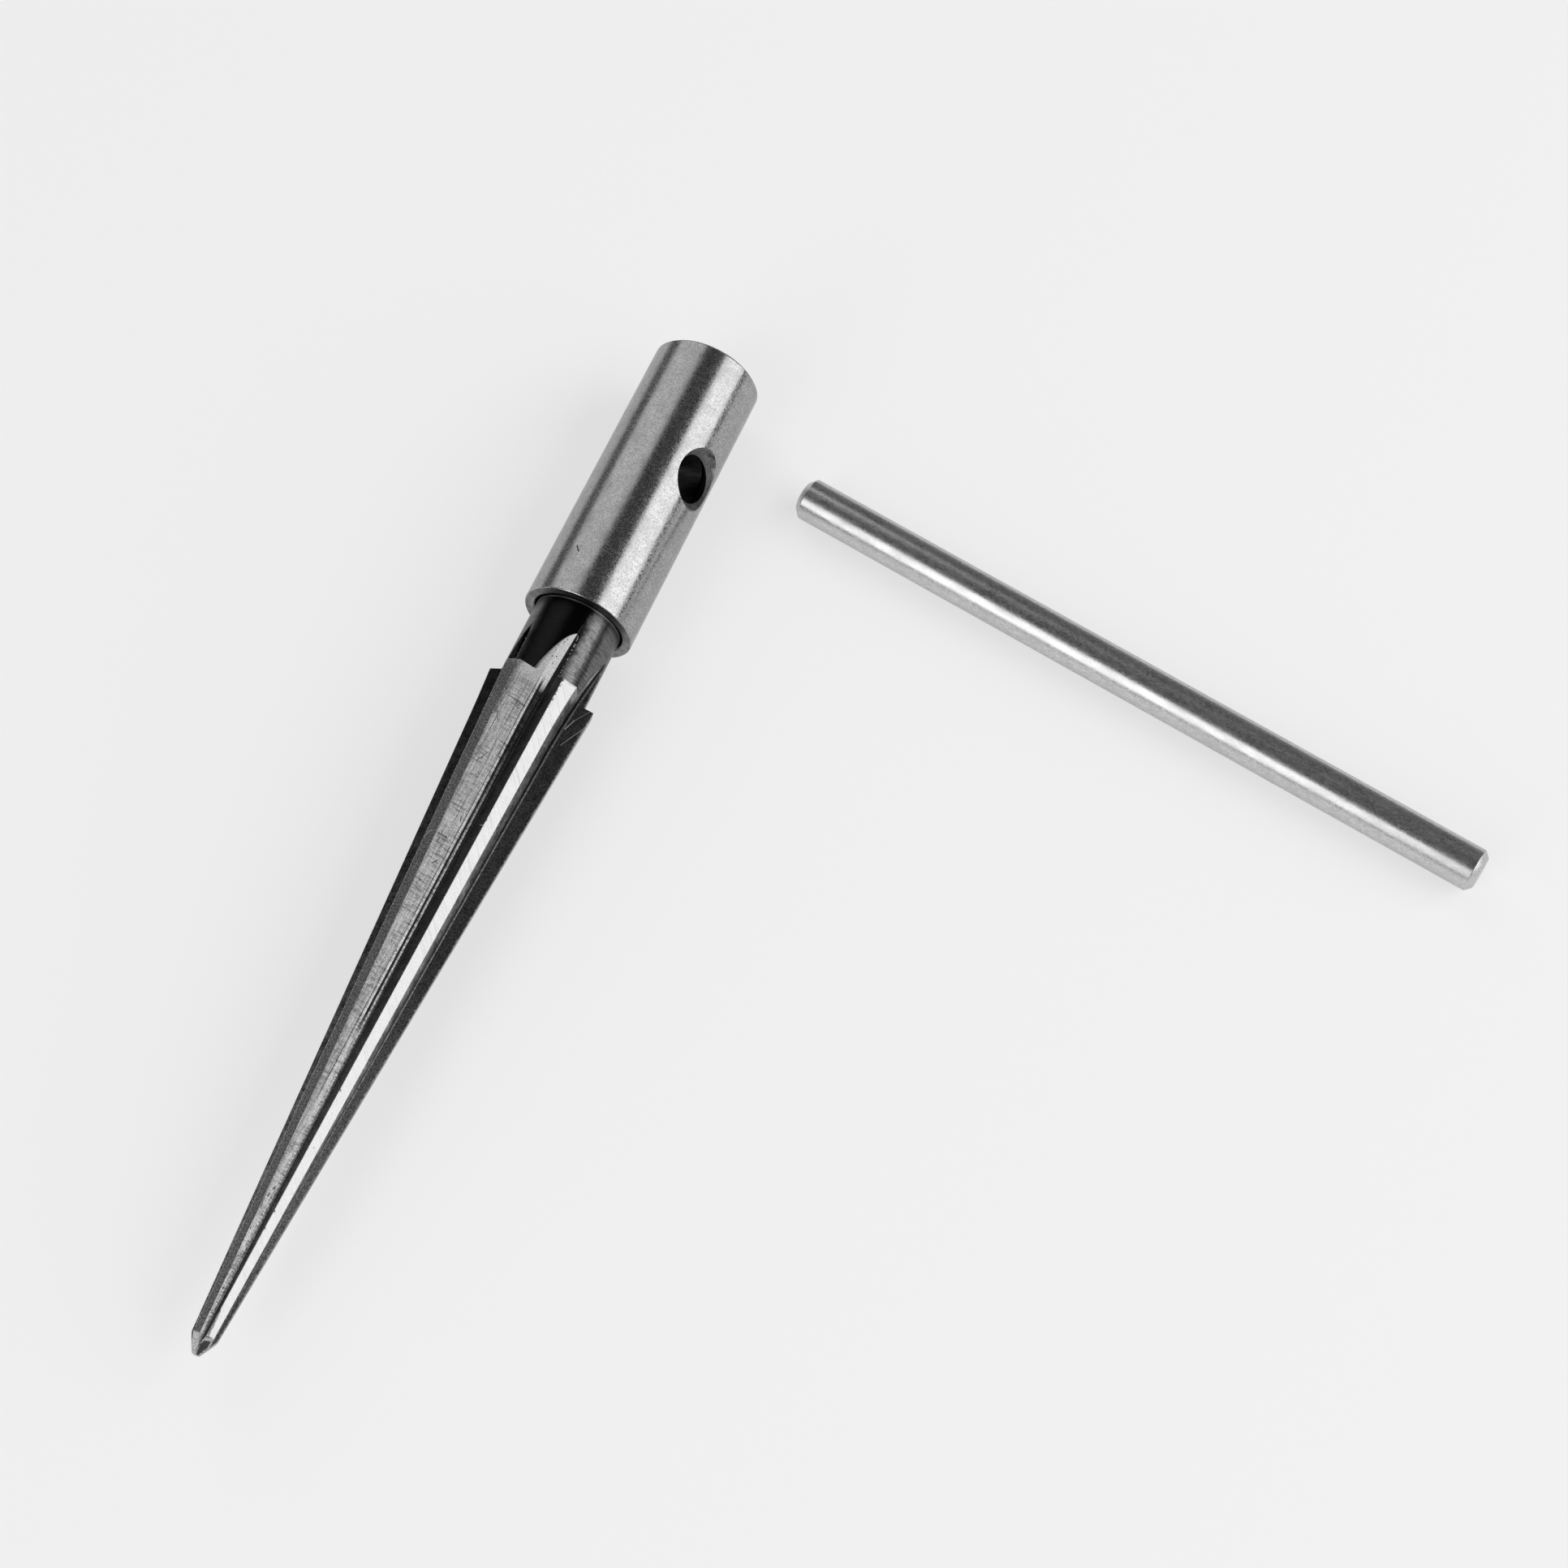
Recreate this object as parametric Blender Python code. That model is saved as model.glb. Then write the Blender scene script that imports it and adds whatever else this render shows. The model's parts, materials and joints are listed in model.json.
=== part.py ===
"""Hand taper reamer for holes from 3 to 13 mm, with its loose tommy bar lying beside it.

Three pieces make it up. A hardened, blackened blade has six straight flutes, a turned neck and a spigot. A bright
handle sleeve fits over the spigot. A bright tommy bar passes through the cross hole of the sleeve in use, and lies
apart here. The reamer's axis runs along X with the point towards -X, and the sleeve lies on the ground.
"""

import math

import bmesh
import bpy
from mathutils import Matrix, Vector

MM = 0.001

# Fluted blade. Places along the axis are measured from the sleeve's mouth, towards the point.
LARGE_D = 13.0 * MM
SMALL_D = 3.0 * MM
NECK_D = 10.6 * MM
NECK_LENGTH = 9.9 * MM
NECK_RINGS = 4
TAPER_LENGTH = 82.3 * MM
POINT_LENGTH = 2.0 * MM
POINT_FLAT_D = 0.8 * MM
SPIGOT_CHAMFER = 0.6 * MM
LAND_LARGE = 1.66 * MM
LAND_SMALL = 0.95 * MM

# Teeth are spaced unevenly, so that the reamer doesn't chatter. Angles are turned from straight up towards +Y. The
# gap after the last tooth is what the others leave of the turn.
FIRST_TOOTH = math.radians(-36.6)
TOOTH_GAPS = [math.radians(gap) for gap in (66.5, 60.0, 56.0, 56.5, 56.0)]

# Flutes. Shares are of the cutting radius, at the large and the small end.
ROOT_LARGE, ROOT_SMALL = 0.65, 0.75
CORNER_LARGE, CORNER_SMALL = 0.15, 0.35
ROOT_FILLET = 0.12
FILLET_STEPS = 12
FLUTE_STATIONS = 9
WHEEL_RADIUS = 100.0 * MM
FULL_DEPTH_PAST_SHOULDER = 7.3 * MM
RUNOUT_END = 1.2 * MM
RUNOUT_STATIONS = 24

# Handle sleeve
SLEEVE_D = 13.5 * MM
SLEEVE_LENGTH = 37.8 * MM
SLEEVE_CHAMFER = 0.35 * MM
MOUTH_EDGE = 0.1 * MM
MOUTH_CHAMFER = 0.15 * MM
SLEEVE_END_WALL = 1.8 * MM
DRILL_POINT = math.radians(118.0)
SPIGOT_CLEARANCE = 0.25 * MM
SPIGOT_END_GAP = 0.3 * MM

# Tommy bar and the cross hole that it slides in
BAR_D = 5.2 * MM
BAR_LENGTH = 91.0 * MM
BAR_CHAMFER = 0.7 * MM
BAR_CLEARANCE = 0.6 * MM
HOLE_FROM_END = 16.0 * MM
HOLE_ANGLE = math.radians(-62.5)
HOLE_SINK_D = 6.8 * MM

# Where the bar lies on the ground, from the mouth of the sleeve, and which way it points
BAR_MIDDLE = (20.2 * MM, -61.25 * MM)
BAR_TURN = math.radians(-100.83)

ROUND_STEPS = 96
BAR_STEPS = 48
HOLE_STEPS = 48
OVERLAP = 3.0 * MM
OVERSHOOT = 1.0 * MM

REACH = NECK_LENGTH + TAPER_LENGTH + POINT_LENGTH
FULL_DEPTH_FROM = NECK_LENGTH + FULL_DEPTH_PAST_SHOULDER
BORE_D = NECK_D + 2 * SPIGOT_CLEARANCE
DRILL_POINT_DEPTH = BORE_D / 2 / math.tan(DRILL_POINT / 2)
BORE_DEPTH = SLEEVE_LENGTH - SLEEVE_END_WALL - DRILL_POINT_DEPTH
SPIGOT_LENGTH = BORE_DEPTH - SPIGOT_END_GAP
HOLE_D = BAR_D + BAR_CLEARANCE
HOLE_AT = SLEEVE_LENGTH - HOLE_FROM_END
AXIS_HEIGHT = SLEEVE_D / 2


def clear_scene():
    """Removes whatever the file holds."""
    for obj in list(bpy.data.objects):
        bpy.data.objects.remove(obj, do_unlink=True)


def finish_of(name, colour, roughness, metallic):
    """One metal finish."""
    material = bpy.data.materials.new(name)
    material.use_nodes = True
    shader = material.node_tree.nodes["Principled BSDF"]
    shader.inputs["Base Color"].default_value = (*colour, 1.0)
    shader.inputs["Roughness"].default_value = roughness
    shader.inputs["Metallic"].default_value = metallic
    return material


def place(name, bm):
    """Turns a bmesh into an object in the scene, with its faces pointing out."""
    bmesh.ops.recalc_face_normals(bm, faces=bm.faces)
    mesh = bpy.data.meshes.new(name)
    bm.to_mesh(mesh)
    bm.free()
    obj = bpy.data.objects.new(name, mesh)
    bpy.context.scene.collection.objects.link(obj)
    return obj


def loft(name, sections):
    """A closed solid through rings of equally many points, with both ends capped."""
    bm = bmesh.new()
    rings = [[bm.verts.new(point) for point in section] for section in sections]
    count = len(rings[0])
    for near, far in zip(rings, rings[1:]):
        for i in range(count):
            j = (i + 1) % count
            bm.faces.new((near[i], near[j], far[j], far[i]))
    bm.faces.new(rings[0])
    bm.faces.new(rings[-1])
    return place(name, bm)


def turned(name, profile, steps):
    """A solid of revolution about X. The profile is a list of (place, radius) and starts and ends on the axis."""
    bm = bmesh.new()
    rings = []
    for x, radius in profile:
        if radius == 0:
            rings.append([bm.verts.new((x, 0, 0))])
            continue
        turns = [math.tau * k / steps for k in range(steps)]
        rings.append([bm.verts.new((x, radius * math.sin(t), radius * math.cos(t))) for t in turns])
    for near, far in zip(rings, rings[1:]):
        for k in range(steps):
            nxt = (k + 1) % steps
            corners = [near[k % len(near)], near[nxt % len(near)], far[nxt % len(far)], far[k % len(far)]]
            bm.faces.new(list(dict.fromkeys(corners)))
    return place(name, bm)


def combine(body, others, operation):
    """Joins or cuts with other solids, keeps the result as the body's own mesh and removes the others."""
    for other in others:
        modifier = body.modifiers.new(operation.lower(), "BOOLEAN")
        modifier.operation = operation
        modifier.solver = "EXACT"
        modifier.object = other
        bpy.context.view_layer.update()
        result = body.evaluated_get(bpy.context.evaluated_depsgraph_get())
        mesh = bpy.data.meshes.new_from_object(result)
        body.modifiers.clear()
        body.data = mesh
        bpy.data.objects.remove(other, do_unlink=True)


def dress(obj, material, sharp):
    """Gives a finished piece its material, smooth where neighbouring faces turn less than sharp degrees."""
    obj.data.materials.clear()
    obj.data.materials.append(material)
    obj.data.shade_smooth()
    obj.data.set_sharp_from_angle(angle=math.radians(sharp))


def polar(radius, angle):
    """A point of a cross-section as (y, z)."""
    return Vector((radius * math.sin(angle), radius * math.cos(angle)))


def share_of_taper(x):
    """0 at the shoulder and 1 where the point starts."""
    return (-x - NECK_LENGTH) / TAPER_LENGTH


def cutting_radius(x):
    return (LARGE_D + (SMALL_D - LARGE_D) * share_of_taper(x)) / 2


def land_width(x):
    return LAND_LARGE + (LAND_SMALL - LAND_LARGE) * share_of_taper(x)


def tooth_angles():
    """The middle of each land, and once more the first tooth after a full turn."""
    angles = [FIRST_TOOTH]
    for gap in TOOTH_GAPS:
        angles.append(angles[-1] + gap)
    angles.append(FIRST_TOOTH + math.tau)
    return angles


def land_polygon(x, flat_radius):
    """The cross-section that the flat lands would make if they ran on until they met."""
    angles = tooth_angles()
    points = []
    for here, after in zip(angles, angles[1:]):
        corner = flat_radius / math.cos((after - here) / 2)
        y, z = polar(corner, (here + after) / 2)
        points.append((x, y, z))
    return points


def flat_radius_at(x):
    return math.sqrt(cutting_radius(x) ** 2 - land_width(x) ** 2 / 4)


def flute_section(x, tooth, after, lift):
    """A grinding wheel's outline at one place: a steep wall, a rounded root and a wide wall up to the next land."""
    radius = cutting_radius(x)
    share = share_of_taper(x)
    half_land = math.asin(land_width(x) / (2 * radius))
    start = tooth + half_land
    end = after - half_land
    corner_angle = start + (CORNER_LARGE + (CORNER_SMALL - CORNER_LARGE) * share) * (end - start)
    corner = polar(radius * (ROOT_LARGE + (ROOT_SMALL - ROOT_LARGE) * share), corner_angle)
    steep = polar(radius, start) - corner
    wide = polar(radius, end) - corner
    half = steep.angle(wide) / 2
    tangent = min(ROOT_FILLET * radius / math.tan(half), 0.8 * steep.length, 0.8 * wide.length)
    fillet = tangent * math.tan(half)
    steep.normalize()
    wide.normalize()
    centre = corner + (steep + wide).normalized() * fillet / math.sin(half)
    first = corner + steep * tangent - centre
    turn = first.angle_signed(corner + wide * tangent - centre)
    outline = [corner + steep * 2 * radius]
    for k in range(FILLET_STEPS + 1):
        outline.append(centre + Matrix.Rotation(-turn * k / FILLET_STEPS, 2) @ first)
    outline.append(corner + wide * 2 * radius)
    outline.append(polar(3 * radius, (start + end) / 2))
    return [(x, p.x + steep.x * lift, p.y + steep.y * lift) for p in outline]


def flute_cutter(tooth, after):
    """The sweep of the wheel from past the point to where it has climbed out of the neck."""
    sections = []
    for k in range(FLUTE_STATIONS):
        x = -REACH - OVERSHOOT + (REACH + OVERSHOOT - FULL_DEPTH_FROM) * k / FLUTE_STATIONS
        sections.append(flute_section(x, tooth, after, 0.0))
    for k in range(RUNOUT_STATIONS + 1):
        run = (FULL_DEPTH_FROM - RUNOUT_END) * k / RUNOUT_STATIONS
        lift = WHEEL_RADIUS - math.sqrt(WHEEL_RADIUS**2 - run**2)
        sections.append(flute_section(run - FULL_DEPTH_FROM, tooth, after, lift))
    return loft("flute_cutter", sections)


def cross_hole_cutter(name, sink):
    """A bar-sized drill through the whole diameter, with a countersink at each end where asked."""
    half = SLEEVE_D / 2
    bore = HOLE_D / 2
    profile = [(-half - OVERSHOOT, 0), (-half - OVERSHOOT, bore), (half + OVERSHOOT, bore), (half + OVERSHOOT, 0)]
    if sink:
        depth = (HOLE_SINK_D - HOLE_D) / 2
        # The rim of the countersink lies where the round outside is lowest, at the two sides of the hole.
        rim = math.sqrt(half**2 - bore**2)
        wide = bore + depth + (half + OVERSHOOT - rim)
        profile = [
            (-half - OVERSHOOT, 0),
            (-half - OVERSHOOT, wide),
            (-rim + depth, bore),
            (rim - depth, bore),
            (half + OVERSHOOT, wide),
            (half + OVERSHOOT, 0),
        ]
    cutter = turned(name, profile, HOLE_STEPS)
    along = Vector((0, math.sin(HOLE_ANGLE), math.cos(HOLE_ANGLE)))
    turn = Vector((1, 0, 0)).rotation_difference(along).to_matrix().to_4x4()
    cutter.data.transform(Matrix.Translation((HOLE_AT, 0, 0)) @ turn)
    return cutter


def make_blade(material):
    """The hardened piece: spigot, neck, six lands and flutes, and a blunt six-sided point."""
    neck = NECK_D / 2
    profile = [
        (SPIGOT_LENGTH, 0),
        (SPIGOT_LENGTH, neck - SPIGOT_CHAMFER),
        (SPIGOT_LENGTH - SPIGOT_CHAMFER, neck),
    ]
    profile += [(-NECK_LENGTH * k / NECK_RINGS, neck) for k in range(NECK_RINGS + 1)]
    profile += [(-NECK_LENGTH - OVERLAP, neck), (-NECK_LENGTH - OVERLAP, 0)]
    blade = turned("fluted_blade", profile, ROUND_STEPS)
    shoulder, base = -NECK_LENGTH, -NECK_LENGTH - TAPER_LENGTH
    teeth = loft(
        "teeth",
        [
            land_polygon(shoulder, flat_radius_at(shoulder)),
            land_polygon(base, flat_radius_at(base)),
            land_polygon(-REACH, POINT_FLAT_D / 2),
        ],
    )
    combine(blade, [teeth], "UNION")
    angles = tooth_angles()
    combine(blade, [flute_cutter(a, b) for a, b in zip(angles, angles[1:])], "DIFFERENCE")
    combine(blade, [cross_hole_cutter("spigot_hole_cutter", False)], "DIFFERENCE")
    dress(blade, material, 7.0)
    return blade


def make_sleeve(material):
    """A bright turned cup over the spigot, cross-drilled for the bar and countersunk on both sides."""
    outer, bore = SLEEVE_D / 2, BORE_D / 2
    sleeve = turned(
        "handle_sleeve",
        [
            (SLEEVE_LENGTH, 0),
            (SLEEVE_LENGTH, outer - SLEEVE_CHAMFER),
            (SLEEVE_LENGTH - SLEEVE_CHAMFER, outer),
            (MOUTH_EDGE, outer),
            (0, outer - MOUTH_EDGE),
            (0, bore + MOUTH_CHAMFER),
            (MOUTH_CHAMFER, bore),
            (BORE_DEPTH, bore),
            (BORE_DEPTH + DRILL_POINT_DEPTH, 0),
        ],
        ROUND_STEPS,
    )
    combine(sleeve, [cross_hole_cutter("sleeve_hole_cutter", True)], "DIFFERENCE")
    dress(sleeve, material, 30.0)
    return sleeve


def make_bar(material):
    """The tommy bar, chamfered at both ends, lying on the ground beside the reamer."""
    half, radius = BAR_LENGTH / 2, BAR_D / 2
    bar = turned(
        "tommy_bar",
        [
            (half, 0),
            (half, radius - BAR_CHAMFER),
            (half - BAR_CHAMFER, radius),
            (BAR_CHAMFER - half, radius),
            (-half, radius - BAR_CHAMFER),
            (-half, 0),
        ],
        BAR_STEPS,
    )
    dress(bar, material, 30.0)
    return bar


def stand_on_origin(objects):
    """Moves the whole part so that its box stands on the origin."""
    bpy.context.view_layer.update()
    corners = [obj.matrix_world @ vertex.co for obj in objects for vertex in obj.data.vertices]
    low = [min(corner[i] for corner in corners) for i in range(3)]
    high = [max(corner[i] for corner in corners) for i in range(3)]
    shift = Vector((-(low[0] + high[0]) / 2, -(low[1] + high[1]) / 2, -low[2]))
    for obj in objects:
        obj.location += shift


def main():
    clear_scene()
    black = finish_of("blackened_tool_steel", (0.035, 0.035, 0.04), 0.38, 0.7)
    bright = finish_of("bright_turned_steel", (0.58, 0.58, 0.59), 0.30, 1.0)
    drawn = finish_of("bright_drawn_steel", (0.62, 0.62, 0.63), 0.25, 1.0)
    blade = make_blade(black)
    sleeve = make_sleeve(bright)
    bar = make_bar(drawn)
    for piece in (blade, sleeve):
        piece.location = (0, 0, AXIS_HEIGHT)
    bar.location = (*BAR_MIDDLE, BAR_D / 2)
    bar.rotation_euler = (0, 0, BAR_TURN)
    stand_on_origin([blade, sleeve, bar])


if __name__ == "__main__":
    main()
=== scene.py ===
"""Looks of a hand taper reamer with its loose tommy bar, on a pale floor in soft studio light.

The frame gives the place and the size of each piece. The handle sleeve and the tommy bar are turned on a
small lathe of Geometry Nodes. The fluted blade is lofted through sections that follow the grinding wheel, so
each of its surfaces (land, steep wall, root, wide wall, neck, shoulder, point) is a zone with its finish.
"""

from __future__ import annotations

import json
import logging
import math
from dataclasses import dataclass, field
from enum import Enum

import bmesh
import bpy
import numpy as np
from mathutils import Matrix, Vector

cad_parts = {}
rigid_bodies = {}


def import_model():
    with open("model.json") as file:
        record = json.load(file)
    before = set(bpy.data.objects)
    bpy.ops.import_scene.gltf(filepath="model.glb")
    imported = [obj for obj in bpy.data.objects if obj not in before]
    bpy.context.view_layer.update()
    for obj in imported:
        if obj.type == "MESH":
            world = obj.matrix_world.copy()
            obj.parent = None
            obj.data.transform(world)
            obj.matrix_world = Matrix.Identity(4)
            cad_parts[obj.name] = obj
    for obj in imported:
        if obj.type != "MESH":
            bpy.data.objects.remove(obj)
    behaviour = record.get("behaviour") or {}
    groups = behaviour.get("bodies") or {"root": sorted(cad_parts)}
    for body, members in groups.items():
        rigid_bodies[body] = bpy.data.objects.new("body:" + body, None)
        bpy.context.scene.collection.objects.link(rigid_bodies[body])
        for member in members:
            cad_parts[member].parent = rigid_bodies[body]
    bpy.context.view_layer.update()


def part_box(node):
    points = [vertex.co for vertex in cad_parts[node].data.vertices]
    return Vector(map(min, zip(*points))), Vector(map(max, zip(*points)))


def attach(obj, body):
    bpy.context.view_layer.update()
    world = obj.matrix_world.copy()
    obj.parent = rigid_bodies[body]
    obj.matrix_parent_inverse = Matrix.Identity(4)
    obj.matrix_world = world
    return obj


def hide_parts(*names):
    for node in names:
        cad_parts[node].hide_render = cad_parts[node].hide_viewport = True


LOG = logging.getLogger("taper_reamer")
MM = 0.001
BODY = "root"

MERGE = 0.0005 * MM
FLAWED = 0.0002 * MM
TINY = 1e-9
AIM_BACK, AIM_SIDE = 0.00689, 0.0288
STRAIGHT = math.radians(175)
SIDE_SHARE = 0.45
EDGE_SHARE = 0.2
ROOT_SHARE = 0.8
FLAT_WEIGHT = 60
HALVINGS = 30
# The tooth whose faces are painted as an even highlight, and the tooth whose wide wall carries painted
# glints.
HIGHLIT_TOOTH, GLINT_TOOTH = 0, 5
# Places along the blade, in millimetres from the mouth, where the painted light and shade of each tooth is
# given.
LIGHT_PAINT_PLACES = (12.0, 45.0, 86.0)
ROW_LIMIT = 30
ROW_GAP = 0.8
ROW_REACH = 256.0
TOOTH_SCALE = 10.0
SAME_TOOTH = 0.4
TOOTH_SHIFT = 137.0
TOOTH_LIFT = 31.0

Socket = bpy.types.NodeSocket


class Zone(Enum):
    """The surfaces of the blade. The value is the material slot on its mesh."""

    NECK = 0
    LAND = 1
    STEEP = 2
    ROOT = 3
    WIDE = 4
    SHOULDER = 5
    POINT = 6
    SPIGOT = 7


class Skin(Enum):
    """The surfaces of the handle sleeve. The value is the material slot on its mesh."""

    OUTSIDE = 0
    MOUTH = 1
    SINK = 2
    INSIDE = 3
    END = 4
    CHAMFER = 5


class Part(Enum):
    """Which outline bounds a section of the blade."""

    ROUND = "round"
    TAPER = "taper"
    POINT = "point"


@dataclass(frozen=True)
class Nick:
    """A nick, pit or scratch between two places, in millimetres across or round the surface and along it."""

    start: tuple[float, float]
    end: tuple[float, float]
    width: float
    strength: float = 0.85
    tooth: int = 0

    @property
    def first(self) -> float:
        """Where it starts along the piece."""
        return min(self.start[1], self.end[1])

    @property
    def last(self) -> float:
        """Where it ends along the piece."""
        return max(self.start[1], self.end[1])


@dataclass(frozen=True)
class ToothLightPaint:
    """How much one tooth or flute is painted lighter or darker near the shoulder, in the middle and near the
    point: painted light and shade for how each tooth faces the lamps.
    """

    tooth: int
    shoulder: float
    middle: float
    point: float


@dataclass(frozen=True)
class WheelLine:
    """A dark line that the wheel left along a wide wall, that far from the first one."""

    offset: float
    width: float
    strength: float
    starts: float
    stops: float
    dashed: float = 0.0


def grey(value: float) -> tuple[float, float, float, float]:
    """A neutral colour of that brightness, with full alpha."""
    return (value, value, value, 1.0)


def nick_rows(tooth: int, *rows: tuple[float, ...]) -> tuple[Nick, ...]:
    """Nicks of one tooth, each from where it starts, where it ends, its width and mostly its strength."""
    return tuple(Nick(row[:2], row[2:4], *row[4:], tooth=tooth) for row in rows)


SLEEVE_NICKS = nick_rows(
    0,
    (2.53, 6.18, 1.99, 5.46, 0.11, 1.0), (1.99, 9.3, 1.99, 4.5, 0.07, 0.2),
    (-11.3, 10.1, -10.34, 9.8, 0.08, 0.7), (2.34, 15.5, 2.58, 14.7, 0.08, 0.45),
    (2.59, 18.9, 2.34, 17.9, 0.07, 0.4), (-0.05, 35.97, -0.28, 35.6, 0.07, 0.6),
)
SINK_DARK = nick_rows(0, (-6.6, 25.5, -8.1, 26.0, 0.25, 0.7), (-7.6, 18.6, -10.0, 19.6, 0.2, 0.6))
SINK_LIGHT = nick_rows(0, (-8.5, 24.9, -11.0, 23.3, 0.4, 0.75), (-7.1, 18.1, -7.15, 18.15, 0.13, 0.9))
# Painted light and shade: the listed teeth are made lighter or darker than the rest near the shoulder, in the
# middle and near the point, for how each faces the lamps.
WIDE_LIGHT_PAINT = (ToothLightPaint(0, 0.82, 1.14, 0.66), ToothLightPaint(1, 0.1, 0.3, 1.1), ToothLightPaint(5, 1.0, 2.2, 2.2))
STEEP_LIGHT_PAINT = (ToothLightPaint(0, 1.9, 1.5, 4.0), ToothLightPaint(1, 0.42, 0.55, 0.9), ToothLightPaint(5, 0.6, 0.33, 1.2))
ROOT_LIGHT_PAINT = (ToothLightPaint(0, 0.7, 1.0, 3.0), ToothLightPaint(5, 1.0, 2.4, 2.4))
LAND_LIGHT_PAINT = (ToothLightPaint(1, 1.2, 1.3, 1.6), ToothLightPaint(2, 0.25, 0.5, 1.4), ToothLightPaint(5, 0.17, 0.17, 0.08))
POINT_LIGHT_PAINT = (ToothLightPaint(0, 1.0, 1.0, 0.5), ToothLightPaint(1, 1.0, 1.0, 1.7), ToothLightPaint(5, 1.0, 1.0, 0.8))
# A painted highlight: a light patch near the point of one tooth, laid as a light nick.
POINT_PAINTED_HIGHLIGHT = nick_rows(0, (-0.3, 92.35, 0.3, 92.55, 0.22, 0.8))
WHEEL_LINES = (
    WheelLine(0.0, 0.18, 0.95, 10.6, 54.0),
    WheelLine(0.48, 0.075, 0.75, 10.6, 62.0, 0.4),
    WheelLine(1.42, 0.06, 0.5, 13.0, 33.0, 0.8),
    WheelLine(2.68, 0.06, 0.55, 10.4, 30.0, 0.6),
)
WIDE_NICKS = nick_rows(
    0,
    (0.86, 4.94, 0.9, 5.0, 0.08), (1.03, 5.38, 1.08, 5.45, 0.08), (1.4, 6.07, 1.42, 6.15, 0.08),
    (1.45, 6.68, 1.4, 6.75, 0.07), (1.41, 7.53, 1.38, 7.6, 0.07), (0.97, 7.3, 0.97, 7.4, 0.09),
    (0.98, 8.26, 0.95, 8.35, 0.08), (1.3, 12.0, 3.5, 11.8, 0.45, 0.22), (1.3, 14.35, 3.5, 14.25, 0.07, 0.6),
    (4.06, 13.75, 4.1, 13.8, 0.12), (3.75, 16.6, 3.4, 17.3, 0.08, 0.7), (1.06, 21.2, 1.0, 21.3, 0.12),
    (2.4, 21.4, 3.06, 22.8, 0.05, 0.8), (1.65, 29.6, 1.5, 30.05, 0.09), (2.0, 32.6, 3.0, 32.6, 0.14, 0.75),
    (2.8, 32.2, 2.5, 32.6, 0.08, 0.6), (2.65, 32.9, 2.75, 33.5, 0.06, 0.7), 
    (2.75, 33.5, 2.1, 33.6, 0.06, 0.6),
    (1.7, 35.4, 2.03, 35.9, 0.09), (2.35, 38.3, 2.38, 38.4, 0.1), (1.87, 45.9, 1.9, 46.0, 0.09),
    (1.0, 46.6, 0.98, 46.7, 0.1), (1.56, 51.2, 1.5, 51.3, 0.09), (1.3, 58.8, 1.9, 58.6, 0.05, 0.7),
    (1.25, 62.5, 1.3, 63.2, 0.06, 0.6), (0.63, 75.4, 0.66, 75.7, 0.13), (0.8, 76.3, 0.82, 76.6, 0.1),
    (1.1, 77.0, 1.0, 78.0, 0.1, 0.6), (0.9, 80.4, 0.88, 80.5, 0.1, 0.7), (0.7, 83.4, 0.68, 83.5, 0.1, 0.7),
    (0.55, 87.1, 0.5, 87.2, 0.1, 0.7),
)
STEEP_SCRATCHES = nick_rows(
    5,
    (-0.82, 15.33, -2.08, 12.22, 0.05, 0.5), (-0.3, 13.36, -0.68, 11.88, 0.06, 0.75),
    (-0.68, 11.88, -1.66, 9.95, 0.04, 0.45),
) + nick_rows(0, (-1.95, 30.0, -1.1, 29.7, 0.07, 1.0))
LAND_NICKS = nick_rows(
    0,
    (0.75, 29.0, 0.7, 29.2, 0.12), (0.5, 63.3, 0.43, 63.4, 0.12), (0.45, 77.8, 0.43, 77.9, 0.11),
    (0.47, 79.8, 0.45, 79.9, 0.1), (0.5, 89.4, 0.3, 92.4, 0.24, 0.8),
)
LAND_SCRATCHES = nick_rows(
    1,
    (-0.04, 32.5, 0.35, 32.7, 0.07, 0.7), (0.35, 32.7, 0.62, 33.4, 0.07, 0.7),
    (-0.17, 36.5, 0.26, 37.5, 0.05, 0.5),
    (0.13, 22.6, 0.13, 22.7, 0.1, 0.5), (0.48, 14.8, 0.48, 14.9, 0.1, 0.4),
    (0.54, 26.9, 0.54, 27.0, 0.1, 0.5),
    (0.4, 35.0, 0.4, 35.1, 0.09, 0.5),
)


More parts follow.
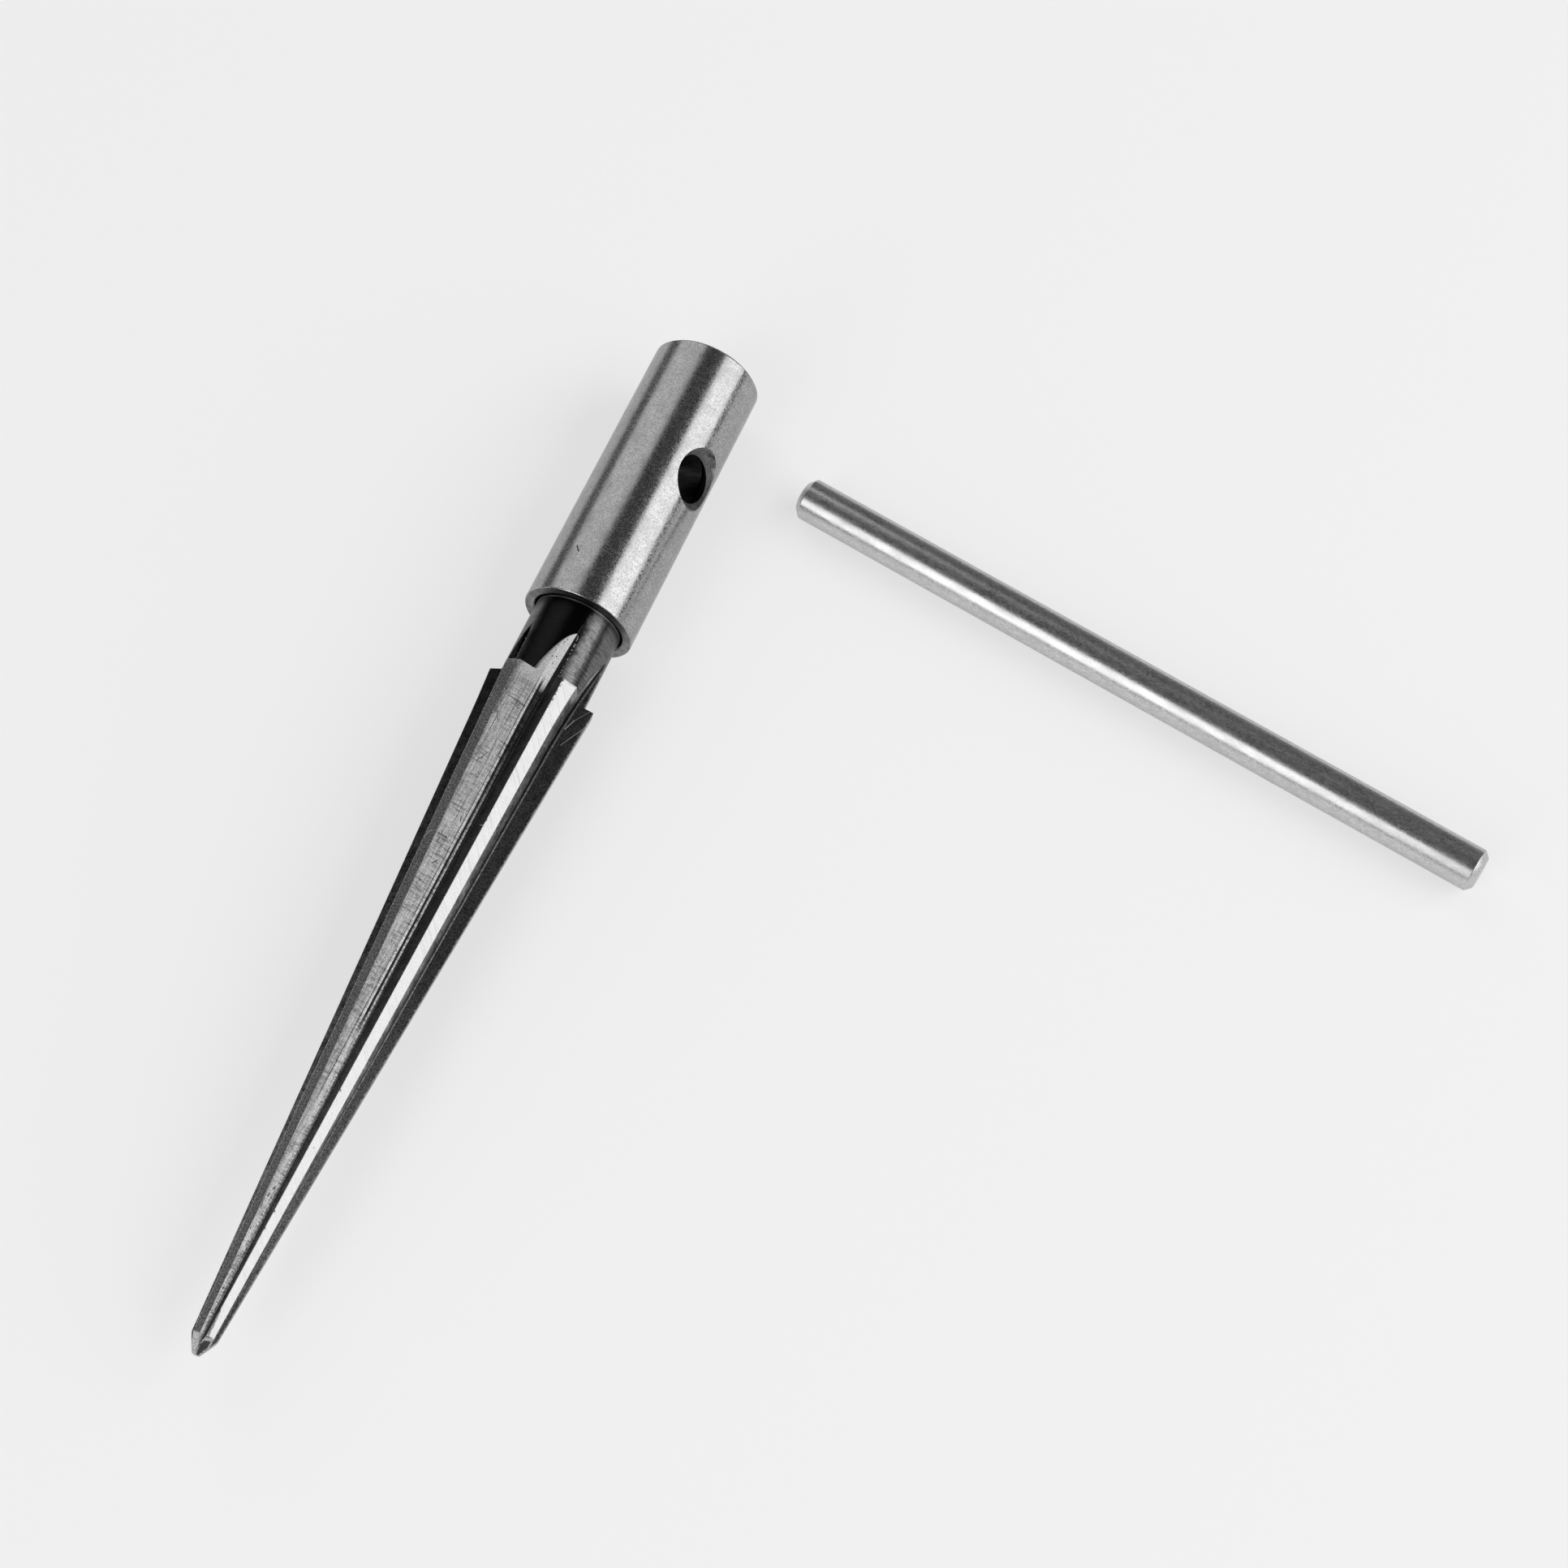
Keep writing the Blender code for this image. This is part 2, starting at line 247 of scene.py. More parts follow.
class Network:
    """A node tree with short calls that add nodes and join them."""

    def __init__(self, tree: bpy.types.NodeTree) -> None:
        """Keeps the tree that the calls work on."""
        self.tree = tree

    def add(self, kind: str, inputs: dict | None = None, **settings: object) -> bpy.types.Node:
        """Adds one node.

        Args:
            kind: Blender's name of the node type.
            inputs: What its inputs get, by name or by number.
            settings: Properties to set on the node.

        Returns:
            The new node.
        """
        node = self.tree.nodes.new(kind)
        for name, value in settings.items():
            setattr(node, name, value)
        for key, value in (inputs or {}).items():
            self.feed(node.inputs[key], value)
        return node

    def feed(self, socket: Socket, value: object) -> None:
        """Links a socket to another one, or sets its own value.

        Args:
            socket: The input to feed.
            value: A socket, or a plain value.
        """
        if isinstance(value, bpy.types.NodeSocket):
            self.tree.links.new(value, socket)
        elif isinstance(value, (int, float)) and getattr(socket, "type", "") in ("VECTOR", "RGBA"):
            size = len(socket.default_value)
            socket.default_value = [float(value)] * min(3, size) + [1.0] * (size - 3)
        else:
            socket.default_value = value

    def fill(self, sockets: bpy.types.NodeInputs, **values: object) -> None:
        """Feeds several sockets by name, with spaces written as underscores."""
        for name, value in values.items():
            self.feed(sockets[name.replace("_", " ")], value)

    def math(self, operation: str, first: object, second: object = 0.0, third: object = 0.0) -> Socket:
        """A Math node's result, such as MULTIPLY of two values."""
        return self.add("ShaderNodeMath", {0: first, 1: second, 2: third}, operation=operation).outputs[0]

    def product(self, *values: object) -> Socket:
        """The product of two or more values.

        Args:
            values: Sockets or numbers.

        Returns:
            Their product.
        """
        result = values[0]
        for value in values[1:]:
            result = self.math("MULTIPLY", result, value)
        return result

    def largest(self, first: object, second: object) -> Socket:
        """The larger of two values."""
        return self.math("MAXIMUM", first, second)

    def left(self, mask: object) -> Socket:
        """What a mask leaves: 1 less the mask."""
        return self.math("SUBTRACT", 1.0, mask)

    def is_tooth(self, tooth: Socket, number: int) -> Socket:
        """1 on the tooth of that number and 0 on the others."""
        return self.math("COMPARE", tooth, float(number), SAME_TOOTH)

    def vector(self, operation: str, first: object, second: object = (0.0, 0.0, 0.0)) -> Socket:
        """A Vector Math node's vector result."""
        return self.add("ShaderNodeVectorMath", {0: first, 1: second}, operation=operation).outputs[0]

    def measure(self, operation: str, first: object, second: object = (0.0, 0.0, 0.0)) -> Socket:
        """A Vector Math node's value, such as LENGTH or DOT_PRODUCT."""
        return self.add("ShaderNodeVectorMath", {0: first, 1: second}, operation=operation).outputs["Value"]

    def scaled(self, vector: object, factor: object) -> Socket:
        """A vector times a value."""
        return self.add("ShaderNodeVectorMath", {0: vector, "Scale": factor}, operation="SCALE").outputs[0]

    def combine(self, x: object, y: object, z: object) -> Socket:
        """A vector from three values."""
        return self.add("ShaderNodeCombineXYZ", {0: x, 1: y, 2: z}).outputs[0]

    def separate(self, vector: Socket) -> tuple[Socket, Socket, Socket]:
        """The three values of a vector."""
        return tuple(self.add("ShaderNodeSeparateXYZ", {0: vector}).outputs)

    def step(self, value: object, low: object, high: object) -> Socket:
        """Makes a soft step.

        Args:
            value: What is compared.
            low: Where it starts. It may be above high, which turns it round.
            high: Where it ends.

        Returns:
            0 below low, 1 above high and smooth between.
        """
        inputs = {"Value": value, "From Min": low, "From Max": high}
        node = self.add("ShaderNodeMapRange", inputs, interpolation_type="SMOOTHSTEP", clamp=True)
        return node.outputs["Result"]

    def between(self, value: object, low: float, high: float, to_low: float, to_high: float) -> Socket:
        """Maps a value from one range to another, and stays in it."""
        inputs = {"Value": value, "From Min": low, "From Max": high, "To Min": to_low, "To Max": to_high}
        return self.add("ShaderNodeMapRange", inputs, clamp=True).outputs["Result"]

    def stops(self, value: object, places: tuple, levels: tuple) -> Socket:
        """Reads a line through three points.

        Args:
            value: What is looked up.
            places: Three values in rising order.
            levels: The result at each.

        Returns:
            The level, straight between the places and constant outside them.
        """
        low, middle, high = places
        first = self.between(value, low, middle, levels[0], levels[1])
        return self.math("ADD", first, self.between(value, middle, high, 0.0, levels[2] - levels[1]))

    def ramp(self, value: object, steps: list[float], rows: list[tuple]) -> bpy.types.NodeOutputs:
        """Looks up a row of values in a stepped ramp.

        Args:
            value: Where to look, from 0 to 1.
            steps: Where each step starts.
            rows: Four values from 0 to 1 for each step.

        Returns:
            The ramp's outputs, with the row of that step.
        """
        node = self.add("ShaderNodeValToRGB", {0: value})
        node.color_ramp.interpolation = "CONSTANT"
        elements = node.color_ramp.elements
        elements.remove(elements[1])
        for place, row in zip(steps[1:], rows[1:]):
            elements.new(place).color = row
        elements[0].position = 0.0
        elements[0].color = rows[0]
        return node.outputs

    def noise(self, vector: object, scale: object, detail: float = 2.0, roughness: float = 0.5) -> Socket:
        """The value of a noise pattern."""
        inputs = {"Vector": vector, "Scale": scale, "Detail": detail, "Roughness": roughness}
        return self.add("ShaderNodeTexNoise", inputs).outputs["Fac"]

    def mix(self, share: object, first: object, second: object) -> Socket:
        """A colour between two colours."""
        return self.add("ShaderNodeMix", {0: share, 6: first, 7: second}, data_type="RGBA").outputs[2]

    def blend(self, share: object, first: object, second: object) -> Socket:
        """A value between two values."""
        return self.add("ShaderNodeMix", {0: share, 2: first, 3: second}, data_type="FLOAT").outputs[0]

    def group(self, tree: bpy.types.NodeTree, **inputs: object) -> bpy.types.NodeOutputs:
        """Places a node group.

        Args:
            tree: The group.
            inputs: What its inputs get, with spaces written as underscores.

        Returns:
            Its outputs.
        """
        node = self.add("ShaderNodeGroup", node_tree=tree)
        self.fill(node.inputs, **inputs)
        return node.outputs


class Effects:
    """The surface effects that several finishes share, each a node group that is built once."""

    VECTORS = ("Place", "Centre", "From", "To")

    def __init__(self) -> None:
        """Builds every group."""
        self.trees = {
            "round": self._round_coordinates(),
            "grain": self._grain(),
            "lines": self._lines(),
            "specks": self._specks(),
            "hairlines": self._hairlines(),
            "skin": self._skin(),
            "scratch": self._scratch(),
        }

    @staticmethod
    def _group(name: str, inputs: dict[str, float | None], outputs: tuple[str, ...]) -> tuple:
        """Starts a node group.

        Args:
            name: The group's name.
            inputs: The name and the default of each input. A vector has no default of its own.
            outputs: The name of each output.

        Returns:
            The group's network, the sockets that bring its inputs and the sockets that take its results.
        """
        tree = bpy.data.node_groups.new(name, "ShaderNodeTree")
        for label, way in [(label, "INPUT") for label in inputs] + [(label, "OUTPUT") for label in outputs]:
            kind = "NodeSocketVector" if label in Effects.VECTORS else "NodeSocketFloat"
            socket = tree.interface.new_socket(name=label, in_out=way, socket_type=kind)
            if way == "INPUT" and inputs[label] is not None:
                socket.default_value = inputs[label]
        net = Network(tree)
        return net, net.add("NodeGroupInput").outputs, net.add("NodeGroupOutput").inputs

    def _round_coordinates(self) -> bpy.types.NodeTree:
        """Millimetres round, along and out from a level axis through a centre, turned that far from X.

        Returns:
            The group.
        """
        inputs = {"Centre": None, "Radius": 5.0, "Turn": 0.0}
        net, given, out = self._group("round coordinates", inputs, ("Place", "Out"))
        place = net.vector("SUBTRACT", net.add("ShaderNodeTexCoord").outputs["Object"], given["Centre"])
        rotate = net.add("ShaderNodeVectorRotate", rotation_type="Z_AXIS")
        net.fill(rotate.inputs, Vector=place, Angle=net.product(given["Turn"], -1.0))
        x, y, z = net.separate(net.scaled(rotate.outputs[0], 1.0 / MM))
        round_way = net.product(net.math("ARCTAN2", y, z), given["Radius"])
        out_way = net.math("SQRT", net.math("ADD", net.product(y, y), net.product(z, z)))
        net.fill(out, Place=net.combine(round_way, x, out_way), Out=out_way)
        return net.tree

    def _grain(self) -> bpy.types.NodeTree:
        """Fine speckled grain, which may be drawn out along the second coordinate.

        Returns:
            The group.
        """
        inputs = {"Place": None, "Size": 0.1, "Stretch": 1.0}
        net, given, out = self._group("grain", inputs, ("Fine", "Coarse"))
        x, y, z = net.separate(given["Place"])
        place = net.combine(x, net.math("DIVIDE", y, given["Stretch"]), z)
        scale = net.math("DIVIDE", 1.0, given["Size"])
        coarse = net.noise(place, net.product(scale, 0.12), 3.0, 0.6)
        net.fill(out, Fine=net.noise(place, scale, 3.0, 0.65), Coarse=coarse)
        return net.tree

    def _lines(self) -> bpy.types.NodeTree:
        """Tool marks: long thin lines that run along the first coordinate, a pitch apart along the second.

        Returns:
            The group.
        """
        inputs = {"Place": None, "Pitch": 0.2, "Length": 12.0}
        net, given, out = self._group("tool lines", inputs, ("Value", "Deep"))
        x, y, z = net.separate(given["Place"])
        along = net.math("DIVIDE", x, net.product(given["Pitch"], given["Length"]))
        place = net.combine(along, net.math("DIVIDE", y, given["Pitch"]), net.product(z, 0.05))
        deep = net.step(net.noise(place, 0.37, 2.0, 0.5), 0.62, 0.74)
        net.fill(out, Value=net.noise(place, 1.0, 3.0, 0.7), Deep=deep)
        return net.tree

    def _specks(self) -> bpy.types.NodeTree:
        """Scattered small spots: a cell pattern of which only a share of the cells holds a spot.

        Returns:
            The group.
        """
        inputs = {"Place": None, "Spacing": 1.0, "Size": 0.2, "Share": 0.3}
        net, given, out = self._group("specks", inputs, ("Mask",))
        scale = net.math("DIVIDE", 1.0, given["Spacing"])
        cells = net.add("ShaderNodeTexVoronoi", feature="F1")
        net.fill(cells.inputs, Vector=given["Place"], Scale=scale, Randomness=1.0)
        chance, size, _ = net.separate(cells.outputs["Color"])
        chosen = net.math("LESS_THAN", chance, given["Share"])
        reach = net.product(given["Size"], net.math("ADD", size, 0.4))
        spot = net.step(cells.outputs["Distance"], reach, net.product(reach, 0.4))
        net.fill(out, Mask=net.product(spot, chosen))
        return net.tree

    def _hairlines(self) -> bpy.types.NodeTree:
        """A few thin curved scratches: the level lines of a slow noise, kept only here and there.

        Returns:
            The group.
        """
        inputs = {"Place": None, "Spacing": 3.0, "Width": 0.012, "Share": 0.5}
        net, given, out = self._group("hairlines", inputs, ("Mask",))
        scale = net.math("DIVIDE", 1.0, given["Spacing"])
        level = net.math("ABSOLUTE", net.math("SUBTRACT", net.noise(given["Place"], scale, 0.0), 0.5))
        line = net.step(level, given["Width"], 0.0)
        moved = net.vector("ADD", given["Place"], (31.0, 17.0, 5.0))
        kept = net.step(net.noise(moved, net.product(scale, 0.8)), net.left(given["Share"]), 0.9)
        net.fill(out, Mask=net.product(line, kept))
        return net.tree

    def _scratch(self) -> bpy.types.NodeTree:
        """One straight scratch or nick from place to place, with a ragged outline and blunt ends.

        Returns:
            The group.
        """
        inputs = {"Place": None, "From": None, "To": None, "Width": 0.07}
        net, given, out = self._group("scratch", inputs, ("Mask",))
        span = net.vector("SUBTRACT", given["To"], given["From"])
        gap = net.vector("SUBTRACT", given["Place"], given["From"])
        size = net.largest(net.measure("DOT_PRODUCT", span, span), 1e-6)
        gone = net.math("DIVIDE", net.measure("DOT_PRODUCT", gap, span), size)
        gone = net.between(gone, 0.0, 1.0, 0.0, 1.0)
        away = net.measure("LENGTH", net.vector("SUBTRACT", gap, net.scaled(span, gone)))
        rag = net.math("SUBTRACT", net.noise(given["Place"], 7.0, 2.0, 0.6), 0.5)
        away = net.math("ADD", away, net.product(rag, given["Width"], 1.6))
        net.fill(out, Mask=net.step(away, given["Width"], net.product(given["Width"], 0.35)))
        return net.tree

    def _skin(self) -> bpy.types.NodeTree:
        """The blade's own coordinates: across, along and from the edge, in a place that no two teeth share.

        Returns:
            The group.
        """
        net, _, out = self._group("blade skin", {}, ("Place", "Along", "Edge", "Tooth"))
        skin = net.add("ShaderNodeAttribute", attribute_name="skin").outputs["Vector"]
        across, along, edge = net.separate(skin)
        tooth = net.add("ShaderNodeAttribute", attribute_name="tooth").outputs["Fac"]
        shifted = net.math("ADD", along, net.product(tooth, TOOTH_SHIFT))
        place = net.combine(across, shifted, net.product(tooth, TOOTH_LIFT))
        net.fill(out, Place=place, Along=along, Edge=edge, Tooth=tooth)
        return net.tree


@dataclass(frozen=True)
class BladePlace:
    """Where a material is on the blade, as sockets. Shifted and place differ from tooth to tooth."""

    place: Socket
    across: Socket
    along: Socket
    shifted: Socket
    edge: Socket
    tooth: Socket
    plain: Socket


class Coat(Network):
    """A new material's network, with its Principled BSDF and the shared effects."""

    def __init__(self, name: str, effects: Effects | None = None) -> None:
        """Starts the material.

        Args:
            name: The material's name.
            effects: The shared groups, where it uses them.
        """
        self.material = bpy.data.materials.new(name)
        self.material.use_nodes = True
        super().__init__(self.material.node_tree)
        self.shader = self.tree.nodes["Principled BSDF"]
        self.effects = effects

    def dress(self, **inputs: object) -> None:
        """Feeds the shader's inputs by name, with spaces written as underscores."""
        self.fill(self.shader.inputs, **inputs)

    def effect(self, name: str, **inputs: object) -> bpy.types.NodeOutputs:
        """Places a shared effect with its own values, and gives its outputs."""
        return self.group(self.effects.trees[name], **inputs)

    def over(self, colour: Socket, mask: object, value: float) -> Socket:
        """Lays a neutral tone over a colour where a mask says so."""
        return self.mix(mask, colour, grey(value))

    def roughen(self, coarse: Socket, low: float, high: float, more: Socket | None = None) -> None:
        """Lets the roughness wander with the coarse grain from low to high, and may add more."""
        rough = self.between(coarse, 0.3, 0.7, low, high)
        self.dress(Roughness=rough if more is None else self.math("ADD", rough, more))

    def bump(self, height: Socket, depth: float) -> None:
        """Feeds a height, of which 1 stands that many millimetres out, into the shader's normal."""
        inputs = {"Strength": 1.0, "Distance": depth * MM, "Height": height}
        self.dress(Normal=self.add("ShaderNodeBump", inputs).outputs[0])

    def blade_place(self) -> BladePlace:
        """Reads the blade's own coordinates from its mesh.

        Returns:
            The coordinates as sockets.
        """
        skin = self.effect("skin")
        across, shifted, _ = self.separate(skin["Place"])
        plain = self.combine(across, skin["Along"], 0.0)
        return BladePlace(skin["Place"], across, skin["Along"], shifted, skin["Edge"], skin["Tooth"], plain)

    def painted_tooth_share(self, tooth_light_paint: tuple[ToothLightPaint, ...], at: BladePlace, rest: float) -> Socket:
        """How much each tooth is painted lighter or darker along the blade: painted light and shade.

        Args:
            tooth_light_paint: The teeth that differ from the rest.
            at: The blade's coordinates.
            rest: What the other teeth keep.

        Returns:
            A factor for the tone.
        """
        share: Socket | float = rest
        for tone in tooth_light_paint:
            own = self.stops(at.along, LIGHT_PAINT_PLACES, (tone.shoulder, tone.middle, tone.point))
            share = self.blend(self.is_tooth(at.tooth, tone.tooth), share, own)
        return share

    def nicks(self, place: Socket, nicks: tuple[Nick, ...], tooth: Socket | None = None) -> Socket | float:
        """The named nicks of a surface as one mask.

        Args:
            place: The surface's own coordinates, with 0 as the third one.
            nicks: Where they are.
            tooth: The number of the tooth, on the blade.

        Returns:
            Their mask, or 0 without any.
        """
        mask: Socket | float = 0.0
        rows: list[list[Nick]] = []
        for nick in sorted(nicks, key=lambda nick: nick.first):
            free = (row for row in rows if row[-1].last + ROW_GAP < nick.first and len(row) < ROW_LIMIT)
            row = next(free, None)
            if row is None:
                rows.append([nick])
            else:
                row.append(nick)
        for row in rows:
            mask = self.largest(mask, self._nick_row(place, row, tooth))
        return mask

    def _nick_row(self, place: Socket, row: list[Nick], tooth: Socket | None) -> Socket:
        """The mask of nicks that follow one another along a piece, looked up in two stepped ramps.

        Args:
            place: The surface's own coordinates, with 0 as the third one.
            row: The nicks in order.
            tooth: The number of the tooth, on the blade.

        Returns:
            Their mask.
        """
        low, high = row[0].first - 1.0, row[-1].last + 1.0
        ends = [low] + [(one.last + two.first) / 2 for one, two in zip(row, row[1:])]
        steps = [(end - low) / (high - low) for end in ends]
        at = self.between(self.separate(place)[1], low, high, 0.0, 1.0)

        def coded(spot: tuple[float, float]) -> tuple[float, ...]:
            """A place as two numbers from 0 to 1, which a ramp can hold."""
            return tuple(value / ROW_REACH + 0.5 for value in spot)

        starts = self.ramp(at, steps, [(*coded(n.start), n.width, n.tooth / TOOTH_SCALE) for n in row])
        ends = self.ramp(at, steps, [(*coded(n.end), n.strength, 1.0) for n in row])
        sides = []
        for ramp in (starts, ends):
            half = ROW_REACH / 2
            inputs = {0: ramp["Color"], 1: (ROW_REACH, ROW_REACH, 0.0), 2: (-half, -half, 0.0)}
            sides.append(self.add("ShaderNodeVectorMath", inputs, operation="MULTIPLY_ADD").outputs[0])
        width, strength = self.separate(starts["Color"])[2], self.separate(ends["Color"])[2]
        mask = self.effect("scratch", Place=place, From=sides[0], To=sides[1], Width=width)["Mask"]
        mask = self.product(mask, strength)
        if tooth is None:
            return mask
        own = self.math("COMPARE", tooth, self.product(starts["Alpha"], TOOTH_SCALE), SAME_TOOTH)
        return self.product(mask, own)


@dataclass(frozen=True)
class Finish:
    """What every finish has: a name, the plain values of its shader, and how its material is made."""

    TINT = 1.0

    name: str
    roughness: float = 0.35

    def build(self, effects: Effects) -> bpy.types.Material:
        """Makes the material.

        Args:
            effects: The shared groups.

        Returns:
            The material.
        """
        coat = Coat(self.name, effects)
        coat.dress(Roughness=self.roughness, Metallic=1.0, Specular_Tint=grey(self.TINT))
        self.paint(coat)
        return coat.material

    def paint(self, coat: Coat) -> None:
        """Lays the finish on a coat. Each finish has its own way."""
        raise NotImplementedError


@dataclass(frozen=True)
class SatinSteel(Finish):
    """Bright steel with a fine satin grain, faint turning lines and blotches, flecks and named nicks."""

    TINT = 0.82

    bright: float = 0.51
    dark: float = 0.25
    grain: float = 0.17
    stretch: float = 1.3
    lines: float = 0.12
    depth: float = 0.0045
    flecks: float = 0.0
    nicks: tuple[Nick, ...] = ()
    rough_grain: float = 0.06
    centre: tuple[float, float, float] = (0.0, 0.0, 0.0)
    radius: float = 6.75
    turn: float = 0.0

    def paint(self, coat: Coat) -> None:
        """Lays grain, lines, pores, flecks and nicks on a coat.

        Args:
            coat: The material under work.
        """
        place = coat.effect("round", Centre=self.centre, Radius=self.radius, Turn=self.turn)["Place"]
        grain = coat.effect("grain", Place=place, Size=self.grain, Stretch=self.stretch)
        lines = coat.effect("lines", Place=place, Pitch=0.1, Length=50.0)
        pores = coat.effect("specks", Place=place, Spacing=0.42, Size=0.07, Share=0.35)
        level = coat.blend(self.lines, grain["Fine"], lines["Value"])
        colour = coat.mix(coat.between(level, 0.38, 0.62, 0.0, 1.0), grey(self.dark), grey(self.bright))
        colour = coat.over(colour, coat.between(grain["Coarse"], 0.4, 0.7, 0.0, 0.3), self.dark)
        round_way, along, _ = coat.separate(place)
        fleck_place = coat.combine(round_way, coat.product(along, 0.6), 0.0)
        flecks = coat.effect("specks", Place=fleck_place, Spacing=0.55, Size=0.13, Share=0.5)
        patch = coat.product(
            coat.noise(place, 0.3, 2.0), coat.step(round_way, -0.6, 0.8), coat.step(round_way, 3.4, 2.4)
        )
        flecked = coat.product(flecks["Mask"], coat.step(patch, 0.44, 0.52), self.flecks)
        dark = coat.largest(flecked, coat.product(pores["Mask"], 0.4))
        dark = coat.largest(dark, coat.nicks(coat.combine(round_way, along, 0.0), self.nicks))
        coat.dress(Base_Color=coat.over(colour, dark, 0.05))
        more = coat.between(level, 0.4, 0.6, -self.rough_grain, self.rough_grain)
        coat.roughen(grain["Coarse"], self.roughness - 0.03, self.roughness + 0.05, more)
        coat.bump(coat.math("SUBTRACT", level, coat.product(dark, 1.5)), self.depth)


@dataclass(frozen=True)
class DullFace(Finish):
    """A face off the lathe tool: dull grey, with darker and lighter rings round the axis, and where asked two
    lobes of painted shade.
    """

    bright: float = 0.3
    dark: float = 0.1
    pitch: float = 0.09
    # How dark two lobes of painted shade get, and the angle round the axis where they are darkest.
    shade_lobes: float = 0.0
    shade_lobes_at: float = math.radians(-20.0)
    radius: float = 6.0
    nicks: tuple[Nick, ...] = ()
    light_nicks: tuple[Nick, ...] = ()
    centre: tuple[float, float, float] = (0.0, 0.0, 0.0)

    def paint(self, coat: Coat) -> None:
        """Lays rings, grain, two lobes of painted shade and nicks on a coat.

        Args:
            coat: The material under work.
        """
        place = coat.effect("round", Centre=self.centre, Radius=self.radius)["Place"]
        round_way, along, out = coat.separate(place)
        rings = coat.effect("lines", Place=coat.combine(round_way, out, along), Pitch=self.pitch, Length=60.0)
        grain = coat.effect("grain", Place=place, Size=0.14, Stretch=1.0)
        level = coat.blend(0.5, rings["Value"], grain["Fine"])
        colour = coat.mix(coat.between(level, 0.36, 0.64, 0.0, 1.0), grey(self.dark), grey(self.bright))
        colour = coat.over(colour, coat.between(grain["Coarse"], 0.45, 0.7, 0.0, 0.5), self.dark)
        # Painted shade: darker towards one angle round the axis and its opposite, standing in for how a
        # turned face's reflection changes round it.
        angle = coat.math("SUBTRACT", coat.math("DIVIDE", round_way, self.radius), self.shade_lobes_at)
        turned = coat.math("COSINE", angle)
        colour = coat.over(colour, coat.product(turned, turned, self.shade_lobes), 0.02)
        flat = coat.combine(round_way, along, 0.0)
        colour = coat.over(colour, coat.nicks(flat, self.nicks), 0.03)
        coat.dress(Base_Color=coat.over(colour, coat.nicks(flat, self.light_nicks), 0.5))
        coat.roughen(grain["Coarse"], self.roughness, 0.6)
        coat.bump(level, 0.01)


@dataclass(frozen=True)
class TurnedOxide(Finish):
    """Black oxide over the fine ridges of the lathe tool, which spread its gloss along the axis, with a band
    round the neck painted nearly black as painted shade and a painted dark stripe.
    """

    TINT = 0.75

    tone: float = 0.15
    # Nearly black tone of the band of painted shade.
    deep: float = 0.014
    # Tone of the lighter ridges outside the painted shade: partly the ridges' own marks, partly painted
    # highlight.
    worn: float = 0.3
    bare: float = 0.5
    # Where the band of painted shade starts and ends round the neck, in millimetres round it.
    shade_starts: float = -3.5
    shade_ends: float = 4.6
    pitch: float = 0.1
    radius: float = 5.3
    centre: tuple[float, float, float] = (0.0, 0.0, 0.0)

    def paint(self, coat: Coat) -> None:
        """Lays ridges, grain, a band of painted shade round the neck, a painted dark stripe and the bare ring
        at the mouth on a coat.

        Args:
            coat: The material under work.
        """
        tangent = coat.add("ShaderNodeTangent", direction_type="RADIAL", axis="X").outputs[0]
        coat.dress(Anisotropic=0.85, Anisotropic_Rotation=0.25, Tangent=tangent)
        place = coat.effect("round", Centre=self.centre, Radius=self.radius)["Place"]
        ridges = coat.effect("lines", Place=place, Pitch=self.pitch, Length=16.0)
        grain = coat.effect("grain", Place=place, Size=0.13, Stretch=1.0)
        speck = coat.effect("specks", Place=place, Spacing=1.0, Size=0.1, Share=0.12)
        level = coat.blend(0.35, ridges["Value"], grain["Fine"])
        side, along, _ = coat.separate(place)
        side = coat.math("ADD", side, coat.between(grain["Coarse"], 0.3, 0.7, -0.3, 0.3))
        # Painted shade: by its angle round the neck, the oxide is painted nearly black outside this mask.
        unshaded_side = coat.step(side, self.shade_starts + 1.2, self.shade_starts)
        unshaded_side = coat.largest(unshaded_side, coat.step(side, self.shade_ends - 2.0, self.shade_ends))
        spread = coat.between(level, 0.38, 0.62, -0.6, 0.6)
        spread = coat.product(spread, coat.between(unshaded_side, 0.0, 1.0, 0.25, 1.0))
        tone = coat.product(coat.math("ADD", spread, 1.0), coat.blend(unshaded_side, self.deep, self.tone))
        # Painted shade: a dark stripe beside the highlight, standing in for a dark reflection.
        shade_stripe = coat.product(coat.step(side, -4.0, -4.4), coat.step(side, -5.3, -4.9), 0.5)
        tone = coat.product(tone, coat.left(shade_stripe))
        colour = coat.combine(tone, tone, tone)
        # Ridges and specks are lighter only outside the painted shade, partly a painted highlight.
        colour = coat.over(colour, coat.product(ridges["Deep"], 0.35, unshaded_side), self.worn)
        colour = coat.over(colour, coat.product(speck["Mask"], 0.5, unshaded_side), 0.5)
        bare = coat.product(coat.step(along, -0.17, -0.12), coat.step(along, 0.1, 0.0))
        coat.dress(Base_Color=coat.over(colour, bare, self.bare))
        coat.roughen(grain["Coarse"], self.roughness - 0.03, self.roughness + 0.05)
        coat.bump(coat.product(level, coat.between(unshaded_side, 0.0, 1.0, 0.1, 1.0)), 0.007)


